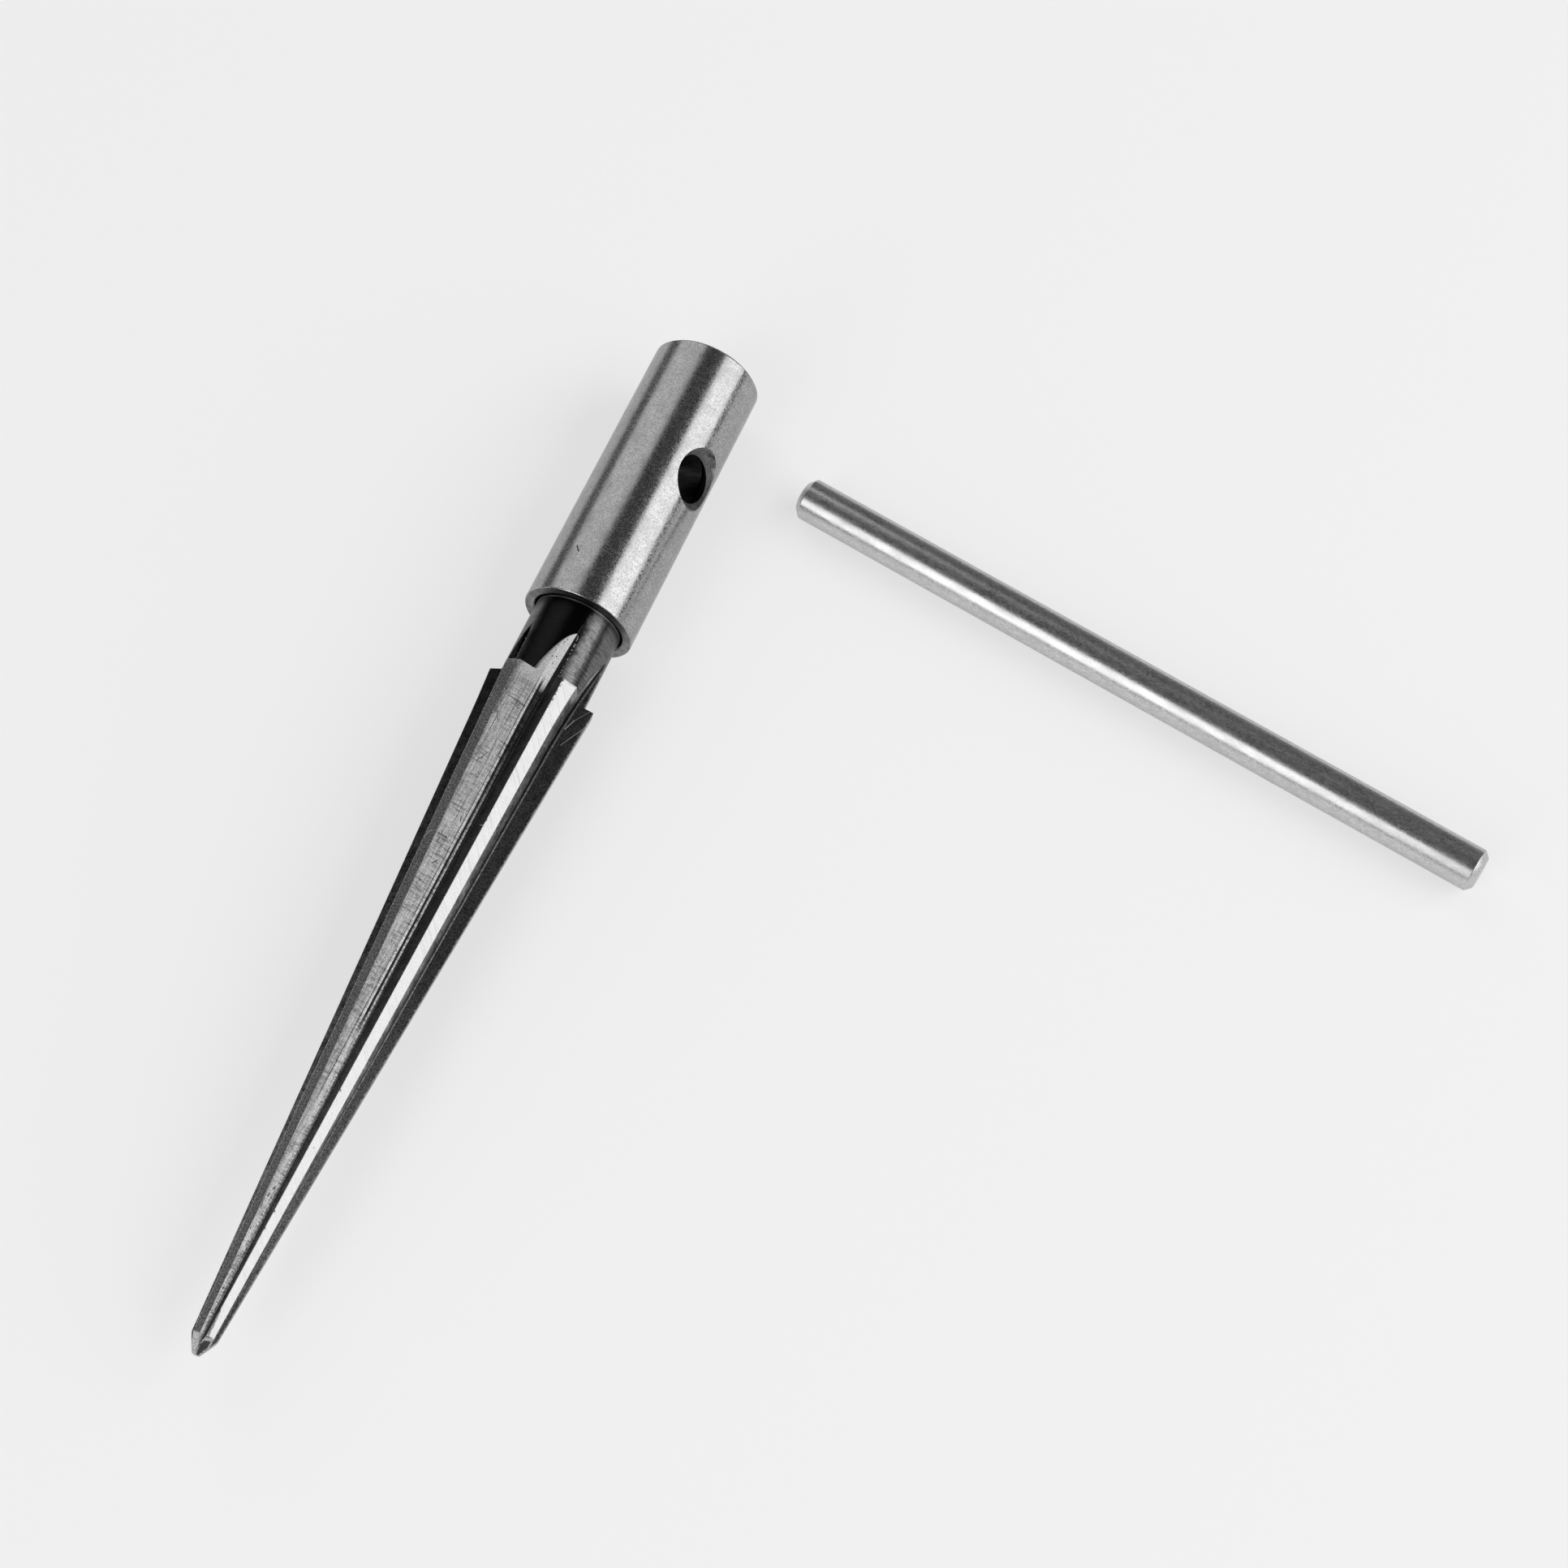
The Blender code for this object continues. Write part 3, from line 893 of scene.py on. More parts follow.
@dataclass(frozen=True)
class FluteWall(Finish):
    """A milled wall of a flute: wheel marks across it, fine lines along it, pits, nicks and a worn edge, with
    painted light and shade for each tooth, and where asked painted shade in the root corner and painted
    glints.
    """

    TINT = 0.55

    tone: float = 0.3
    tooth_light_paint: tuple[ToothLightPaint, ...] = ()
    rest: float = 0.75
    marks: float = 0.0
    weave: float = 0.0
    lines: tuple[WheelLine, ...] = ()
    pits: float = 0.1
    worn_edge: float = 0.3
    painted_glints: float = 0.0
    nicks: tuple[Nick, ...] = ()
    light_nicks: tuple[Nick, ...] = ()
    grit: float = 0.65
    other_grit: float = 0.65
    brightest: float = 0.85
    depth: float = 0.006

    def paint(self, coat: Coat) -> None:
        """Lays grit, wheel marks, lines, pits, nicks, painted glints, painted light and shade for each tooth
        and the worn edge on a coat.

        Args:
            coat: The material under work.
        """
        at = coat.blade_place()
        grain = coat.effect("grain", Place=at.place, Size=0.17, Stretch=1.1)
        marks = coat.effect("lines", Place=at.place, Pitch=0.34, Length=4.0)
        weave = coat.effect("lines", Place=coat.combine(at.shifted, at.across, 0.0), Pitch=0.2, Length=16.0)
        pits = coat.effect("specks", Place=at.place, Spacing=0.9, Size=0.12, Share=self.pits)
        calm = coat.step(at.along, 10.2, 12.6)
        patchy = coat.between(coat.noise(at.place, 0.4, 2.0), 0.4, 0.6, 0.35, 1.0)
        cut_marks = coat.product(coat.step(marks["Value"], 0.54, 0.4), patchy, calm, self.marks)
        drawn = coat.product(coat.step(weave["Value"], 0.55, 0.42), calm, self.weave)
        clean = coat.product(coat.left(cut_marks), coat.left(drawn))
        if self.lines:
            clean = coat.product(clean, self.wheel_lines(coat, at))
        grit = coat.blend(coat.is_tooth(at.tooth, HIGHLIT_TOOTH), self.other_grit, self.grit)
        grit = coat.product(coat.between(grain["Fine"], 0.36, 0.64, -1.0, 1.0), grit)
        tone = coat.product(coat.math("ADD", grit, 1.0), self.tone)
        # Painted light and shade: each listed tooth's wall is made lighter or darker along the blade.
        tone = coat.product(tone, coat.painted_tooth_share(self.tooth_light_paint, at, self.rest))
        tone = coat.product(tone, coat.between(grain["Coarse"], 0.3, 0.7, 0.85, 1.15), clean)
        dark = coat.largest(coat.product(pits["Mask"], 0.8), coat.nicks(at.plain, self.nicks, at.tooth))
        tone = coat.blend(coat.product(dark, 0.9), coat.math("MINIMUM", tone, self.brightest), 0.02)
        broken = coat.step(coat.noise(at.place, 2.4, 2.0), 0.5, 0.62)
        worn = coat.product(coat.step(at.edge, 0.11, 0.03), broken, self.worn_edge)
        light = coat.largest(worn, coat.nicks(at.plain, self.light_nicks, at.tooth))
        # Painted glints: light specks on one tooth's wide wall near the root, standing in for sparkles of
        # light.
        if self.painted_glints:
            painted_glints = coat.effect("specks", Place=at.place, Spacing=0.75, Size=0.16, Share=0.4)
            near = coat.product(coat.step(at.across, 0.35, 0.5), coat.step(at.across, 1.3, 0.9))
            own = coat.product(near, coat.is_tooth(at.tooth, GLINT_TOOTH), self.painted_glints)
            light = coat.largest(light, coat.product(painted_glints["Mask"], own))
        coat.dress(Base_Color=coat.over(coat.combine(tone, tone, tone), light, 0.7))
        coat.roughen(grain["Coarse"], self.roughness - 0.04, self.roughness + 0.1, coat.product(light, 0.3))
        height = coat.math("ADD", clean, coat.product(grain["Fine"], 0.8))
        coat.bump(coat.math("SUBTRACT", height, coat.product(dark, 2.5)), self.depth)

    def wheel_lines(self, coat: Coat, at: BladePlace) -> Socket:
        """How much of the wall's tone the dark lines beside the root leave, from 0 to 1, with the wall darker
        towards the root, lighter farther out, and painted shade in the root corner.

        Args:
            coat: The material under work.
            at: The blade's coordinates.

        Returns:
            A factor for the tone.
        """
        first = coat.stops(at.along, (10.0, 27.0, 60.0), (0.95, 0.69, 0.6))
        rough = coat.noise(coat.combine(coat.product(at.across, 0.6), at.shifted, 3.0), 5.0, 2.0, 0.6)
        beads = coat.between(rough, 0.4, 0.6, 0.4, 1.0)
        late = coat.product(coat.stops(at.along, (20.0, 32.0, 52.0), (0.1, 0.85, 1.15)), beads)
        runout = coat.product(coat.step(at.along, 12.4, 10.8), coat.is_tooth(at.tooth, HIGHLIT_TOOTH))
        low, high = coat.math("SUBTRACT", first, 0.02), coat.math("SUBTRACT", first, 0.12)
        kept = coat.blend(coat.step(at.across, low, high), 1.0, coat.largest(runout, late))
        for line in self.lines:
            away = coat.math("SUBTRACT", at.across, coat.math("ADD", first, line.offset))
            away = coat.math("ABSOLUTE", away)
            ends = coat.step(at.along, line.starts - 0.8, line.starts + 0.8)
            ends = coat.product(ends, coat.step(at.along, line.stops + 5, line.stops))
            dashes = coat.between(rough, 0.45, 0.55, 1.0 - line.dashed, 1.0)
            mask = coat.product(coat.step(away, line.width, 0.5 * line.width), ends, dashes, line.strength)
            kept = coat.product(kept, coat.left(mask))
        low, high = coat.math("ADD", first, 0.5), coat.math("ADD", first, 0.4)
        bright = coat.product(coat.step(at.across, low, high), 0.3)
        kept = coat.product(kept, coat.math("ADD", 1.0, bright))
        # Painted shade: the wall is made nearly black in the corner by the root.
        corner = coat.product(coat.step(at.across, 0.34, 0.22), coat.between(at.along, 45.0, 65.0, 0.95, 0.6))
        return coat.product(kept, coat.left(corner))


@dataclass(frozen=True)
class GroundFace(Finish):
    """A ground land or point facet: sparse slanted wheel marks, speckle, hair scratches and ragged edges,
    with painted light and shade for each tooth and a painted highlight on one tooth's faces.
    """

    bright: float = 0.45
    dark: float = 0.24
    tooth_light_paint: tuple[ToothLightPaint, ...] = ()
    rest: float = 1.0
    slant: float = math.radians(45.0)
    pitch: float = 0.3
    worn_edge: float = 0.3
    worn_width: float = 0.1
    nicks: tuple[Nick, ...] = ()
    light_nicks: tuple[Nick, ...] = ()

    def paint(self, coat: Coat) -> None:
        """Lays speckle, wheel marks, ragged notches, pits, hair scratches and the worn edge on a coat.

        Args:
            coat: The material under work.
        """
        at = coat.blade_place()
        turn = coat.add("ShaderNodeMapping", {"Vector": at.place, "Rotation": (0.0, 0.0, self.slant)})
        wheel = coat.effect("lines", Place=turn.outputs[0], Pitch=self.pitch, Length=30.0)
        grain = coat.effect("grain", Place=at.place, Size=0.2, Stretch=1.0)
        pits = coat.effect("specks", Place=at.place, Spacing=0.9, Size=0.1, Share=0.08)
        hairs = coat.effect("hairlines", Place=at.place, Spacing=2.6, Width=0.01, Share=0.2)
        # Painted highlight: on one tooth the speckle is squeezed into a narrow bright band, so that tooth's
        # face is even and lighter than the others.
        highlit = coat.is_tooth(at.tooth, HIGHLIT_TOOTH)
        speckle = coat.between(grain["Fine"], 0.38, 0.62, 0.0, 1.0)
        speckle = coat.blend(highlit, speckle, coat.between(speckle, 0.0, 1.0, 0.62, 0.72))
        slants = coat.product(
            coat.step(wheel["Value"], 0.46, 0.36), coat.between(at.along, 20.0, 60.0, 0.17, 0.08)
        )
        tone = coat.blend(speckle, self.dark, self.bright)
        # Painted light and shade: each listed tooth is made lighter or darker along the blade.
        tone = coat.product(tone, coat.left(slants), coat.painted_tooth_share(self.tooth_light_paint, at, self.rest))
        ragged = coat.product(
            coat.step(at.edge, 0.3, 0.1), coat.step(coat.noise(at.place, 2.6, 2.0), 0.48, 0.56), highlit
        )
        ragged = coat.product(ragged, coat.step(at.across, 0.0, 0.1))
        ragged = coat.product(ragged, coat.stops(at.along, (10.0, 13.0, 17.0), (1.0, 0.9, 0.0)))
        dark = coat.largest(coat.product(pits["Mask"], 0.6), coat.nicks(at.plain, self.nicks, at.tooth))
        tone = coat.blend(coat.largest(dark, ragged), tone, 0.04)
        broken = coat.step(coat.noise(at.place, 3.0, 2.0), 0.62 - 1.4 * self.worn_width, 0.62)
        worn = coat.step(at.edge, self.worn_width, 0.2 * self.worn_width)
        worn = coat.product(worn, broken, self.worn_edge)
        light = coat.largest(worn, coat.product(hairs["Mask"], 0.6))
        light = coat.largest(light, coat.nicks(at.plain, self.light_nicks, at.tooth))
        coat.dress(Base_Color=coat.over(coat.combine(tone, tone, tone), light, 0.75))
        coat.roughen(grain["Coarse"], self.roughness - 0.03, self.roughness + 0.06, coat.product(light, 0.35))
        coat.bump(grain["Fine"], 0.003)


@dataclass
class MeshTool:
    """A tree of Geometry Nodes that makes a mesh from a guide object."""

    tree: bpy.types.NodeTree = field(init=False)

    def __post_init__(self) -> None:
        """Builds the tree."""
        self.tree = self._tree()

    def _tree(self) -> bpy.types.NodeTree:
        """The tree. Each tool has its own."""
        raise NotImplementedError

    @staticmethod
    def _start(name: str, inputs: dict[str, str]) -> tuple:
        """Starts a tree with geometry in and out.

        Args:
            name: The tree's name.
            inputs: The name and the kind of each other input. The first is the guide.

        Returns:
            Its network, the sockets that bring its inputs, and the guide's geometry.
        """
        tree = bpy.data.node_groups.new(name, "GeometryNodeTree")
        for label, kind in {"Geometry": "Geometry", **inputs}.items():
            tree.interface.new_socket(name=label, in_out="INPUT", socket_type="NodeSocket" + kind)
        tree.interface.new_socket(name="Geometry", in_out="OUTPUT", socket_type="NodeSocketGeometry")
        net = Network(tree)
        given = net.add("NodeGroupInput").outputs
        guide = net.add("GeometryNodeObjectInfo", {"Object": given[next(iter(inputs))]})
        return net, given, guide.outputs["Geometry"]

    @staticmethod
    def _end(net: Network, geometry: Socket, finish: Socket) -> bpy.types.NodeTree:
        """Makes the result real, gives it its finish and closes the tree.

        Args:
            net: The tree's network.
            geometry: What it made.
            finish: The material's socket.

        Returns:
            The tree.
        """
        real = net.add("GeometryNodeRealizeInstances", {0: geometry}).outputs[0]
        dressed = net.add("GeometryNodeSetMaterial", {"Geometry": real, "Material": finish}).outputs[0]
        net.add("NodeGroupOutput", {0: dressed})
        return net.tree

    def _make(self, name: str, values: dict[str, object], guide: bpy.types.Object) -> bpy.types.Object:
        """Runs the tree and removes the guide.

        Args:
            name: The new object's name.
            values: What the tree's inputs get.
            guide: The guide object.

        Returns:
            An object at the origin with a plain mesh.
        """
        obj = new_object(name, [], [])
        modifier = obj.modifiers.new(self.tree.name, "NODES")
        modifier.node_group = self.tree
        for item in self.tree.interface.items_tree:
            if item.in_out == "INPUT" and item.name in values:
                modifier[item.identifier] = values[item.name]
        keep_result(obj)
        bpy.data.objects.remove(guide, do_unlink=True)
        return obj


@dataclass
class Lathe(MeshTool):
    """Turns a profile about X: rows of the profile, copied round in steps."""

    def _tree(self) -> bpy.types.NodeTree:
        """Reads a profile object and makes the turned mesh.

        Returns:
            The tree.
        """
        inputs = {"Profile": "Object", "Steps": "Int", "Finish": "Material", "Merge": "Float"}
        net, given, profile = self._start("lathe", inputs)
        rows = net.add("GeometryNodeAttributeDomainSize", {"Geometry": profile})
        count = rows.outputs["Point Count"]
        columns = net.math("ADD", given["Steps"], 1.0)
        grid = net.add("GeometryNodeMeshGrid", {"Vertices X": columns, "Vertices Y": count})
        index = net.add("GeometryNodeInputIndex").outputs[0]
        column = net.math("FLOOR", net.math("DIVIDE", index, count))
        row = net.math("SUBTRACT", index, net.product(column, count))
        place = net.add("GeometryNodeInputPosition").outputs[0]
        sample = net.add("GeometryNodeSampleIndex", data_type="FLOAT_VECTOR")
        net.fill(sample.inputs, Geometry=profile, Value=place, Index=row)
        x, radius, _ = net.separate(sample.outputs[0])
        turn = net.product(net.math("DIVIDE", column, given["Steps"]), math.tau)
        side, up = net.product(radius, net.math("SINE", turn)), net.product(radius, net.math("COSINE", turn))
        placed = {"Geometry": grid.outputs["Mesh"], "Position": net.combine(x, side, up)}
        moved = net.add("GeometryNodeSetPosition", placed).outputs[0]
        merged = net.add("GeometryNodeMergeByDistance", {"Geometry": moved, "Distance": given["Merge"]})
        return self._end(net, merged.outputs[0], given["Finish"])

    def turn(self, name: str, profile: list, steps: int, finish: bpy.types.Material) -> bpy.types.Object:
        """Turns one profile.

        Args:
            name: The new object's name.
            profile: Places along X and radii in millimetres, from one end on the axis to the other.
            steps: How many steps go round.
            finish: The material that the mesh gets.

        Returns:
            An object at the origin with a plain mesh.
        """
        guide = new_object(name + "_profile", [(x * MM, r * MM, 0.0) for x, r in profile], [])
        values = {"Profile": guide, "Steps": steps, "Finish": finish, "Merge": MERGE}
        obj = self._make(name, values, guide)
        close_and_orient(obj)
        return obj


@dataclass
class Burrs(MeshTool):
    """Tiny lumps of torn metal on edges, on the points of a guide. Least and most are shares of a size."""

    seed: int = 7
    least: float = 0.6
    most: float = 1.4
    flatness: float = 0.7

    def _tree(self) -> bpy.types.NodeTree:
        """Keeps a share of the guide's points and sets a lump on each.

        Returns:
            The tree.
        """
        kinds = {"Guide": "Object", "Least": "Float", "Most": "Float", "Flatness": "Float", "Seed": "Int"}
        net, given, points = self._start("edge burrs", kinds | {"Finish": "Material"})
        own = {}
        for name in ("share", "size"):
            node = net.add("GeometryNodeInputNamedAttribute", {"Name": name}, data_type="FLOAT")
            own[name] = node.outputs["Attribute"]
        chance = net.add("FunctionNodeRandomValue", {"Seed": given["Seed"]}, data_type="FLOAT").outputs[1]
        compared = {0: chance, 1: own["share"]}
        chosen = net.add("FunctionNodeCompare", compared, data_type="FLOAT", operation="LESS_THAN")
        sizes = {2: given["Least"], 3: given["Most"], "Seed": net.math("ADD", given["Seed"], 1.0)}
        size = net.add("FunctionNodeRandomValue", sizes, data_type="FLOAT")
        turns = {1: (math.tau, math.tau, math.tau), "Seed": net.math("ADD", given["Seed"], 2.0)}
        turn = net.add("FunctionNodeRandomValue", turns, data_type="FLOAT_VECTOR")
        grown = net.product(size.outputs[1], own["size"])
        lump = net.add("GeometryNodeMeshIcoSphere", {"Radius": 1.0, "Subdivisions": 1})
        place = net.add("GeometryNodeInstanceOnPoints")
        net.fill(place.inputs, Points=points, Selection=chosen.outputs[0], Instance=lump.outputs["Mesh"])
        scale = net.combine(grown, grown, net.product(grown, given["Flatness"]))
        net.fill(place.inputs, Rotation=turn.outputs[0], Scale=scale)
        return self._end(net, place.outputs[0], given["Finish"])

    def build(self, name: str, guide: list, finish: bpy.types.Material) -> bpy.types.Object:
        """Sets the lumps along a guide.

        Args:
            name: The new object's name.
            guide: Points in metres, each with its chance of a lump and the lump's radius in millimetres.
            finish: Their bare steel.

        Returns:
            The finished piece.
        """
        rail = new_object(name + "_guide", [tuple(point) for point, _, _ in guide], [])
        for label, values in (("share", [g[1] for g in guide]), ("size", [g[2] * MM for g in guide])):
            rail.data.attributes.new(label, "FLOAT", "POINT").data.foreach_set("value", values)
        values = {"Guide": rail, "Least": self.least, "Most": self.most, "Flatness": self.flatness}
        return self._make(name, values | {"Seed": self.seed, "Finish": finish}, rail)


def new_object(name: str, points: list, faces: list) -> bpy.types.Object:
    """Makes a mesh object at the origin.

    Args:
        name: Its name.
        points: Its points.
        faces: Its faces, as numbers of points.

    Returns:
        The object, linked to the scene.
    """
    mesh = bpy.data.meshes.new(name)
    mesh.from_pydata(points, [], faces)
    obj = bpy.data.objects.new(name, mesh)
    bpy.context.scene.collection.objects.link(obj)
    return obj


def keep_result(obj: bpy.types.Object) -> None:
    """Puts the result of the modifiers in place of the mesh, and removes them.

    Args:
        obj: The object with the modifiers.
    """
    bpy.context.view_layer.update()
    graph = bpy.context.evaluated_depsgraph_get()
    result = obj.evaluated_get(graph)
    mesh = bpy.data.meshes.new_from_object(result, preserve_all_data_layers=True, depsgraph=graph)
    obj.modifiers.clear()
    obj.data = mesh


def close_and_orient(obj: bpy.types.Object) -> None:
    """Merges what coincides and turns every face outwards.

    Args:
        obj: The object to clean.
    """
    bm = bmesh.new()
    bm.from_mesh(obj.data)
    bmesh.ops.remove_doubles(bm, verts=bm.verts, dist=MERGE)
    bmesh.ops.dissolve_degenerate(bm, dist=FLAWED, edges=bm.edges)
    bmesh.ops.recalc_face_normals(bm, faces=bm.faces)
    bm.to_mesh(obj.data)
    bm.free()


def cut(body: bpy.types.Object, cutter: bpy.types.Object) -> None:
    """Takes one shape out of another.

    Args:
        body: The object that keeps the rest.
        cutter: The shape to take away. It is removed.
    """
    modifier = body.modifiers.new("cut", "BOOLEAN")
    modifier.operation = "DIFFERENCE"
    modifier.solver = "EXACT"
    modifier.object = cutter
    keep_result(body)
    bpy.data.objects.remove(cutter, do_unlink=True)


def smooth(obj: bpy.types.Object, sharp: float) -> None:
    """Shades an object smooth and keeps its flat faces flat.

    Args:
        obj: The object.
        sharp: From how many degrees an edge stays sharp.
    """
    obj.data.shade_smooth()
    obj.data.set_sharp_from_angle(angle=math.radians(sharp))
    modifier = obj.modifiers.new("even", "WEIGHTED_NORMAL")
    modifier.keep_sharp = True
    modifier.weight = FLAT_WEIGHT
    keep_result(obj)


def place_at(obj: bpy.types.Object, matrix: Matrix) -> None:
    """Puts the piece's place into its mesh."""
    obj.data.transform(matrix)
    obj.data.update()


def part_way(first: float, last: float, share: float) -> float:
    """The value that far from the first to the last."""
    return first + (last - first) * share


def level_rows(start: float, stop: float, radius: float, rows: int) -> list[tuple[float, float]]:
    """Even rows of a profile on one radius."""
    return [(start + (stop - start) * k / rows, radius) for k in range(rows + 1)]


def rounded(profile: list[tuple[float, float]], radius: float, steps: int = 4) -> list[tuple[float, float]]:
    """Rounds the inner corners of a profile.

    Args:
        profile: Points as (place, radius) in millimetres.
        radius: Rounding radius in millimetres, less where a side is short.
        steps: Pieces in each arc.

    Returns:
        The profile with arcs, still starting and ending at its own ends.
    """
    points = [Vector(p) for p in profile]
    result = [tuple(points[0])]
    for before, here, after in zip(points, points[1:], points[2:]):
        back, ahead = before - here, after - here
        opening = back.angle(ahead)
        if opening > STRAIGHT:
            result.append(tuple(here))
            continue
        reach = min(radius / math.tan(opening / 2), SIDE_SHARE * back.length, SIDE_SHARE * ahead.length)
        first, last = here + back.normalized() * reach, here + ahead.normalized() * reach
        for k in range(steps + 1):
            t = k / steps
            result.append(tuple(first * (1 - t) ** 2 + here * 2 * t * (1 - t) + last * t**2))
    result.append(tuple(points[-1]))
    return result


@dataclass
class CrossHole:
    """The hole for the tommy bar through sleeve and spigot, countersunk outside. Sizes in millimetres."""

    along: float = 21.8
    angle: float = math.radians(-62.5)
    hole_d: float = 5.8
    sink_d: float = 6.8
    outer_d: float = 13.5
    overshoot: float = 1.0
    steps: int = 128
    spare: float = 0.03

    def axis(self) -> Vector:
        """The drill's direction."""
        return Vector((0, math.sin(self.angle), math.cos(self.angle)))

    def rim(self) -> float:
        """How far from the sleeve's axis the hole's wall meets its outside."""
        return math.sqrt((self.outer_d / 2) ** 2 - (self.hole_d / 2) ** 2)

    def depth(self) -> float:
        """How deep the countersink goes, which is also how far it widens."""
        return (self.sink_d - self.hole_d) / 2

    def sink_reach(self) -> float:
        """How far from the drill's axis the countersink meets the crown of the sleeve, with a little more."""
        return self.hole_d / 2 + self.depth() + self.outer_d / 2 - self.rim() + self.spare

    def cutter(self, lathe: Lathe, mouth: Vector, sink: bool, finish: bpy.types.Material) -> bpy.types.Object:
        """The solid to take away.

        Args:
            lathe: What turns it.
            mouth: The centre of the sleeve's mouth, in metres.
            sink: Whether it has the two countersinks.
            finish: The material of the walls that it leaves.

        Returns:
            The cutter, in place.
        """
        bore, end = self.hole_d / 2, self.outer_d / 2 + self.overshoot
        side = [(-end, bore), (end, bore)]
        if sink:
            depth, rim = self.depth(), self.rim()
            wide = bore + depth + end - rim
            side = [(-end, wide), (depth - rim, bore), (rim - depth, bore), (end, wide)]
        obj = lathe.turn("hole_cutter", [(-end, 0), *side, (end, 0)], self.steps, finish)
        turn = Vector((1, 0, 0)).rotation_difference(self.axis()).to_matrix().to_4x4()
        place_at(obj, Matrix.Translation(mouth + Vector((self.along * MM, 0, 0))) @ turn)
        return obj


@dataclass
class HandleSleeve:
    """The bright sleeve over the spigot. Sizes in millimetres, places along X from its mouth."""

    mouth: Vector
    length: float
    outer_d: float
    bore_d: float = 11.1
    end_chamfer: float = 0.35
    mouth_edge: float = 0.1
    mouth_chamfer: float = 0.15
    end_wall: float = 1.8
    drill_point: float = math.radians(118.0)
    corner: float = 0.08
    rows: int = 10
    steps: int = 224
    sharp: float = 28.0
    play: float = 0.05
    burr_turns: tuple[float, float, float] = (-58.0, 34.0, 1.1)
    burr_chance: float = 0.28
    burr_size: float = 0.04

    def build(
        self, lathe: Lathe, hole: CrossHole, finishes: dict[Skin, bpy.types.Material]
    ) -> bpy.types.Object:
        """Turns the sleeve, drills it and dresses each of its surfaces.

        Args:
            lathe: What turns it.
            hole: The cross hole.
            finishes: A material for each surface.

        Returns:
            The finished piece.
        """
        finish = finishes[Skin.OUTSIDE]
        outer, bore = self.outer_d / 2, self.bore_d / 2
        point = bore / math.tan(self.drill_point / 2)
        depth = self.length - self.end_wall - point
        profile = [(self.length, 0), (self.length, outer - self.end_chamfer)]
        profile += level_rows(self.length - self.end_chamfer, self.mouth_edge, outer, self.rows)
        profile += [(0, outer - self.mouth_edge), (0, bore + self.mouth_chamfer)]
        profile += [(self.mouth_chamfer, bore), (depth, bore), (depth + point, 0)]
        obj = lathe.turn("turned_sleeve", rounded(profile, self.corner), self.steps, finish)
        place_at(obj, Matrix.Translation(self.mouth))
        cut(obj, hole.cutter(lathe, self.mouth, True, finish))
        obj.data.materials.clear()
        for surface in Skin:
            obj.data.materials.append(finishes[surface])
        for face in obj.data.polygons:
            face.material_index = self.surface(face.center, hole).value
        smooth(obj, self.sharp)
        return obj

    def surface(self, place: Vector, hole: CrossHole) -> Skin:
        """Tells which surface a face belongs to.

        Args:
            place: The face's centre, in metres.
            hole: The cross hole.

        Returns:
            The surface.
        """
        local = (place - self.mouth) / MM
        out = math.hypot(local.y, local.z)
        drill, offset = hole.axis(), local - Vector((hole.along, 0, 0))
        from_drill = (offset - drill * offset.dot(drill)).length
        if out > self.outer_d / 2 - 0.012:
            return Skin.OUTSIDE
        if local.x > self.length - 0.02 and out < self.outer_d / 2 - self.end_chamfer:
            return Skin.END
        if local.x > self.length - self.end_chamfer:
            return Skin.CHAMFER
        if local.x < 0.03:
            return Skin.MOUTH
        if from_drill < hole.sink_reach() and out > self.bore_d / 2 + self.play:
            return Skin.SINK if from_drill > hole.hole_d / 2 + 0.01 else Skin.INSIDE
        return Skin.INSIDE if out < self.bore_d / 2 + self.play else Skin.OUTSIDE

    def burr_guide(self) -> list[tuple[Vector, float, float]]:
        """Points along the upper rim of the mouth for the burrs.

        Returns:
            Each point in metres with its chance of a burr and the burr's radius in millimetres.
        """
        guide = []
        out = self.outer_d / 2 - self.burr_size
        for turn in np.radians(np.arange(*self.burr_turns)):
            place = Vector((self.burr_size, out * math.sin(turn), out * math.cos(turn)))
            guide.append((self.mouth + place * MM, self.burr_chance, self.burr_size))
        return guide


@dataclass
class TommyBar:
    """The loose bar, chamfered at both ends. Sizes in millimetres."""

    low: Vector
    high: Vector
    diameter: float
    turn: float = math.radians(-100.83)
    chamfer: float = 0.7
    edge: float = 0.12
    rows: int = 12
    steps: int = 128
    sharp: float = 60.0

    def length(self) -> float:
        """The bar's length, from its box and the way it points."""
        side = (self.high.y - self.low.y) / MM
        return (side - self.diameter_across_end()) / abs(math.sin(self.turn))

    def diameter_across_end(self) -> float:
        """How much the width of the flat end adds to the box."""
        return (self.diameter - 2 * self.chamfer) * abs(math.cos(self.turn))

    def centre(self) -> Vector:
        """The middle of the bar, in metres."""
        return (self.low + self.high) / 2

    def build(self, lathe: Lathe, finish: bpy.types.Material) -> bpy.types.Object:
        """Turns the bar and lays it in its place.

        Args:
            lathe: What turns it.
            finish: Its smooth steel.

        Returns:
            The finished piece.
        """
        half, radius = self.length() / 2, self.diameter / 2
        profile = [(half, 0), (half, radius - self.chamfer)]
        profile += level_rows(half - self.chamfer, self.chamfer - half, radius, self.rows)
        profile += [(-half, radius - self.chamfer), (-half, 0)]
        obj = lathe.turn("drawn_bar", rounded(profile, self.edge), self.steps, finish)
        place_at(obj, Matrix.Translation(self.centre()) @ Matrix.Rotation(self.turn, 4, "Z"))
        smooth(obj, self.sharp)
        return obj


